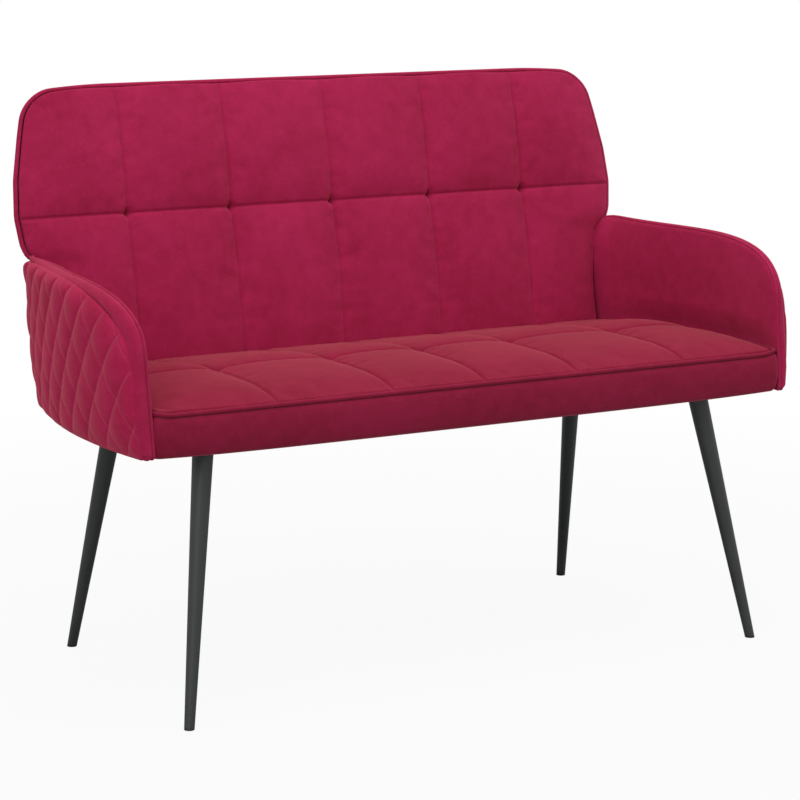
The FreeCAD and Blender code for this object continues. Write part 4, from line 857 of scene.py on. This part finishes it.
def band_place(s, t):
    """The strip lies flat along the arm's top and falls away round its front."""
    index = np.rint(s * ARM_STEPS).astype(int) % ARM_STEPS
    y, z, out_y, out_z = arm_y[index], arm_z[index], arm_out_y[index], arm_out_z[index]
    forward = np.clip((ARM_FRONT_Y - y) / ARM_FRONT_FADE, 0, 1)
    front = np.maximum(np.clip(-out_y, 0, 1) ** 2, forward)
    lift = np.interp(t, BAND_SHARES, BAND_TOP) * (1 - front) + np.interp(t, BAND_SHARES, BAND_FRONT) * front
    turn = np.clip(-BAND_CORNER_GAIN * out_y, 0, 1)
    turn = turn * np.clip((z - BAND_CORNER_Z) / BAND_CORNER_RISE, 0, 1)
    turn = np.maximum(turn, np.clip(2 * out_y * out_z, 0, 1))
    lift = lift - BAND_CORNER * turn * t ** 2
    y, z = y + out_y * lift, z + out_z * lift
    full = np.clip((z - BAND_FOOT_Z) / BAND_FOOT_RISE, 0, 1)
    wide = BAND_WIDE * (BAND_FOOT + (1 - BAND_FOOT) * full) - BAND_FLARE * flare(y, z)
    return out_to(BAND_START + wide * t + flare(y, z), y), y, z


band = skin("right_arm_band", ARM_STEPS, BAND_ROWS, band_place)
tidy(band)
change(band, "SOLIDIFY", thickness=BAND_THICK, offset=-1.0)
tidy(band)
both_arms(band, "arm_edge_band", plain_velvet)

# Quilted arm pads: velvet and fibre on the outside of each arm, sewn together in leaning diamonds before
# fitting. The pad swells from its foot to a shoulder and rolls in to the band all round.

QUILT_WIDE, QUILT_HIGH, QUILT_SLANT, QUILT_START_Z = 0.062, 0.084, 0.08, 0.492
QUILT_RADIUS, QUILT_DEPTH, QUILT_CROSS = 0.915, 0.0074, 0.35
PAD_BASE, PAD_FOOT, PAD_SWELL, PAD_HEAD, PAD_SHOULDER = 0.8976, 0.0055, 0.0250, 0.0215, 0.80
PAD_RIM, PAD_RIM_FOOT, PAD_RIM_RISE, PAD_BEHIND = 0.9055, 0.0015, 0.05, 0.0004
PAD_FLARE, PAD_RIM_FLARE, PAD_BEHIND_FLARE = 0.3, 0.45, 0.6
PAD_FRONT_INSET, PAD_TOP_INSET, PAD_TOP_FALL, PAD_REAR_INSET = 0.0085, 0.0036, 0.0050, 0.0014
PAD_ROLL, PAD_FRONT_ROLL, PAD_REAR_ROLL, PAD_CORNER, PAD_HEEL = 0.016, 0.050, 0.008, 0.017, 0.006
PAD_FRONT_Y, PAD_FRONT_RUN, PAD_REAR_Y, PAD_REAR_RUN = -0.06, 0.14, 0.10, 0.05
PAD_COLUMNS, PAD_ROWS, PAD_CROWD, PAD_STEPS, SEWN_REACH = 280, 136, 0.5, 900, 0.004


def quilt_cells(y, z):
    """A point's two places among the slanting seams, which lie where either is a whole number."""
    run = QUILT_RADIUS * np.arcsin((y - ARM_APEX_Y) / QUILT_RADIUS)
    rise = z - QUILT_START_Z + QUILT_SLANT * run
    return run / QUILT_WIDE + rise / QUILT_HIGH, run / QUILT_WIDE - rise / QUILT_HIGH


def pad_outline(s, t):
    """The pad's edge: the arm's outline, drawn in from the front and a little from the top and rear."""
    y, z = arm_side(s, t)
    along, up = (y - middle_y) / half_y, (z - middle_z) / half_z
    front, rear, top = np.clip(-along, 0, 1) ** 3, np.clip(along, 0, 1), np.clip(up, 0, 1)
    fall = PAD_TOP_INSET + PAD_TOP_FALL * np.clip((ARM_FRONT_Y - y) / ARM_FRONT_FADE, 0, 1)
    corner, heel = PAD_CORNER * np.clip(-along, 0, 1) ** 2 * top, PAD_HEEL * rear ** 4 * top ** 4
    y = y + PAD_FRONT_INSET * front + corner - PAD_REAR_INSET * rear - heel
    return y, z - fall * top - corner - heel


pad_edge_y, pad_edge_z, _, _ = edge_of(pad_outline, PAD_STEPS)


def pad_share(y, z):
    """How far in from the pad's edge a point is, and how fully the quilting shows there."""
    inside = apart(pad_edge_y, pad_edge_z, y, z)
    return inside, np.clip(inside / SEWN_REACH, 0, 1)


def pad_place(s, t):
    """The quilted outside: pillows between the seams, over the pad's own swell."""
    y, z = pad_outline(crowded(s, PAD_CROWD), crowded(t, PAD_CROWD))
    low, high = ARM_CORNERS[0][1], ARM_CORNERS[2][1]
    inside, sewn = pad_share(y, z)
    wide_z = low + PAD_SHOULDER * (high - low)
    below = np.clip((wide_z - z) / (wide_z - low), 0, 1)
    above = np.clip((z - wide_z) / (high - wide_z), 0, 1)
    swell = np.where(z < wide_z, PAD_FOOT + (PAD_SWELL - PAD_FOOT) * np.sqrt(1 - below ** 2),
                     PAD_HEAD + (PAD_SWELL - PAD_HEAD) * np.sqrt(1 - above ** 2))
    first, second = quilt_cells(y, z)
    pillow = hump(first - np.floor(first), 0.5)
    pillow = pillow * (1 - QUILT_CROSS + QUILT_CROSS * hump(second - np.floor(second), 0.5))
    outer = PAD_BASE + swell - QUILT_DEPTH * (1 - pillow) * sewn + PAD_FLARE * flare(y, z)
    front = np.clip((PAD_FRONT_Y - y) / PAD_FRONT_RUN, 0, 1)
    rear = np.clip((y - PAD_REAR_Y) / PAD_REAR_RUN, 0, 1)
    reach = PAD_ROLL + (PAD_FRONT_ROLL - PAD_ROLL) * front + (PAD_REAR_ROLL - PAD_ROLL) * rear
    roll = np.sqrt(1 - (1 - np.clip(inside / reach, 0, 1)) ** 2)
    rise = (PAD_RIM - PAD_BASE - PAD_RIM_FOOT) * np.clip((z - low) / PAD_RIM_RISE, 0, 1)
    rim = PAD_BASE + PAD_RIM_FOOT + rise + PAD_RIM_FLARE * flare(y, z)
    return out_to(rim + np.maximum(outer - rim, 0) * roll, y), y, z


def onto_panel(at):
    """The pad's inner face, on the bent panel."""
    y, z = at[:, 1], at[:, 2]
    return np.column_stack([out_to(PAD_BASE + PAD_BEHIND + PAD_BEHIND_FLARE * flare(y, z), y), y, z])


def quilt_seam_highlight(place):
    """A painted highlight along the quilting seams, where the crushed pile catches the light: strong on those
    that climb forwards, faint on the others.
    """
    run = place.reckon("ARCSINE", (place.axis(1) - ARM_APEX_Y) * (1 / QUILT_RADIUS)) * QUILT_RADIUS
    rise = place.axis(2) - QUILT_START_Z + run * QUILT_SLANT
    across, up = run * (1 / QUILT_WIDE), rise * (1 / QUILT_HIGH)
    near = [abs(cell - cell.reckon("ROUND", cell)) for cell in (across + up, across - up)]
    sewn = place.node("ShaderNodeAttribute", {"attribute_name": "sewn"}, {}, "Fac")
    return (near[0].level(0.004, 0.030, 0.55, 0.0) + near[1].level(0.004, 0.024, 0.25, 0.0)) * sewn


quilted_pad = skin("right_arm_quilting", PAD_COLUMNS, PAD_ROWS, pad_place)
front_count = len(quilted_pad.data.vertices)
bpy.ops.object.mode_set(mode="EDIT")
bpy.ops.mesh.select_all(action="SELECT")
bpy.ops.mesh.extrude_region()
bpy.ops.object.mode_set(mode="OBJECT")
at = points(quilted_pad)
at[front_count:] = onto_panel(at[front_count:])
lay(quilted_pad, at)
tidy(quilted_pad)
at = points(quilted_pad)
sewn = quilted_pad.data.attributes.new("sewn", "FLOAT", "POINT")
sewn.data.foreach_set("value", pad_share(at[:, 1], at[:, 2])[1].astype(np.float32))
# The quilted pads get a lighter copy of the velvet: painted light over their whole outside, besides the
# painted seam highlight.
lit_quilted_velvet = velvet("wine_velvet_quilted_painted_light", "#971538", "#BE2559", 0.42, quilt_seam_highlight)
both_arms(quilted_pad, "arm_outer_pad", lit_quilted_velvet)

# Studio: a pale seamless floor, a white surround that is dimmer as a light than as a background, and three
# large soft lamps. The camera stands and points as the photograph's did.

GLOW_NEAR, GLOW_FAR, GLOW_LEAST, AMBIENT = 0.7, 2.2, 0.93, 0.42
MIDDLE = (0.0, 0.0, 0.55)
EYE, EYE_DOWN, EYE_TURN, EYE_LENS = (-2.06287, -3.57185, 1.12669), 10.39, -30.18, 124.98

bpy.ops.mesh.primitive_plane_add(size=24.0, location=(0.0, 0.0, 0.0))
floor = bpy.context.object
floor.name = "studio_floor"
pale, shader, place = finish("pale_floor", Roughness=0.9, Specular_IOR_Level=0.1)
place.noise(3.0).blend(paint("#B8B8B8"), paint("#BCBCBC")).feed(shader, "Base Color")
seen = place.node("ShaderNodeLightPath", {}, {}, "Is Camera Ray")
glow = place.node("ShaderNodeEmission", {}, {"Color": (1.0, 1.0, 1.0, 1.0), "Strength": 1.0})
lit = Wire(pale.node_tree, shader.outputs["BSDF"])
afar = place.node("ShaderNodeVectorMath", {"operation": "LENGTH"}, {0: place}, "Value")
shown = seen * afar.level(GLOW_NEAR, GLOW_FAR, GLOW_LEAST, 1.0)
mixed = place.node("ShaderNodeMixShader", {}, {0: shown, 1: lit, 2: glow})
mixed.feed(pale.node_tree.nodes["Material Output"], "Surface")
floor.data.materials.append(pale)

world = bpy.data.worlds.new("white_surround")
bpy.context.scene.world = world
world.use_nodes = True
background = world.node_tree.nodes["Background"]
background.inputs["Color"].default_value = (1.0, 1.0, 1.0, 1.0)
path = Wire(world.node_tree, world.node_tree.nodes.new("ShaderNodeLightPath").outputs["Is Camera Ray"])
others = [path.node("ShaderNodeLightPath", {}, {}, name) for name in ("Is Glossy Ray", "Is Transmission Ray")]
plain = path.reckon("MAXIMUM", path.reckon("MAXIMUM", path, others[0]), others[1])
plain.level(0.0, 1.0, AMBIENT, 1.0).feed(background, "Strength")


def lamp(name, place, aim, size, power):
    """A square soft lamp that points at a place."""
    bpy.ops.object.light_add(type="AREA", location=place)
    made = bpy.context.object
    made.name = name
    made.data.shape = "SQUARE"
    made.data.size = size
    made.data.energy = power
    away = np.array(place) - np.array(aim)
    made.rotation_euler = (math.atan2(math.hypot(away[0], away[1]), away[2]), 0.0,
                           math.atan2(away[1], away[0]) + math.pi / 2)


lamp("key_lamp", (-3.0, -2.6, 3.2), MIDDLE, 2.4, 80.0)
lamp("fill_lamp", (2.2, -2.0, 3.3), MIDDLE, 2.4, 30.0)
lamp("top_lamp", (0.2, -0.2, 3.8), MIDDLE, 2.6, 50.0)

aim = (math.radians(90 - EYE_DOWN), 0.0, math.radians(EYE_TURN))
bpy.ops.object.camera_add(location=EYE, rotation=aim)
camera = bpy.context.object
camera.name = "photo_camera"
camera.data.lens = EYE_LENS
camera.data.sensor_width = 36.0
camera.data.clip_end = 60.0
bpy.context.scene.camera = camera
bpy.context.scene.view_settings.view_transform = "Standard"
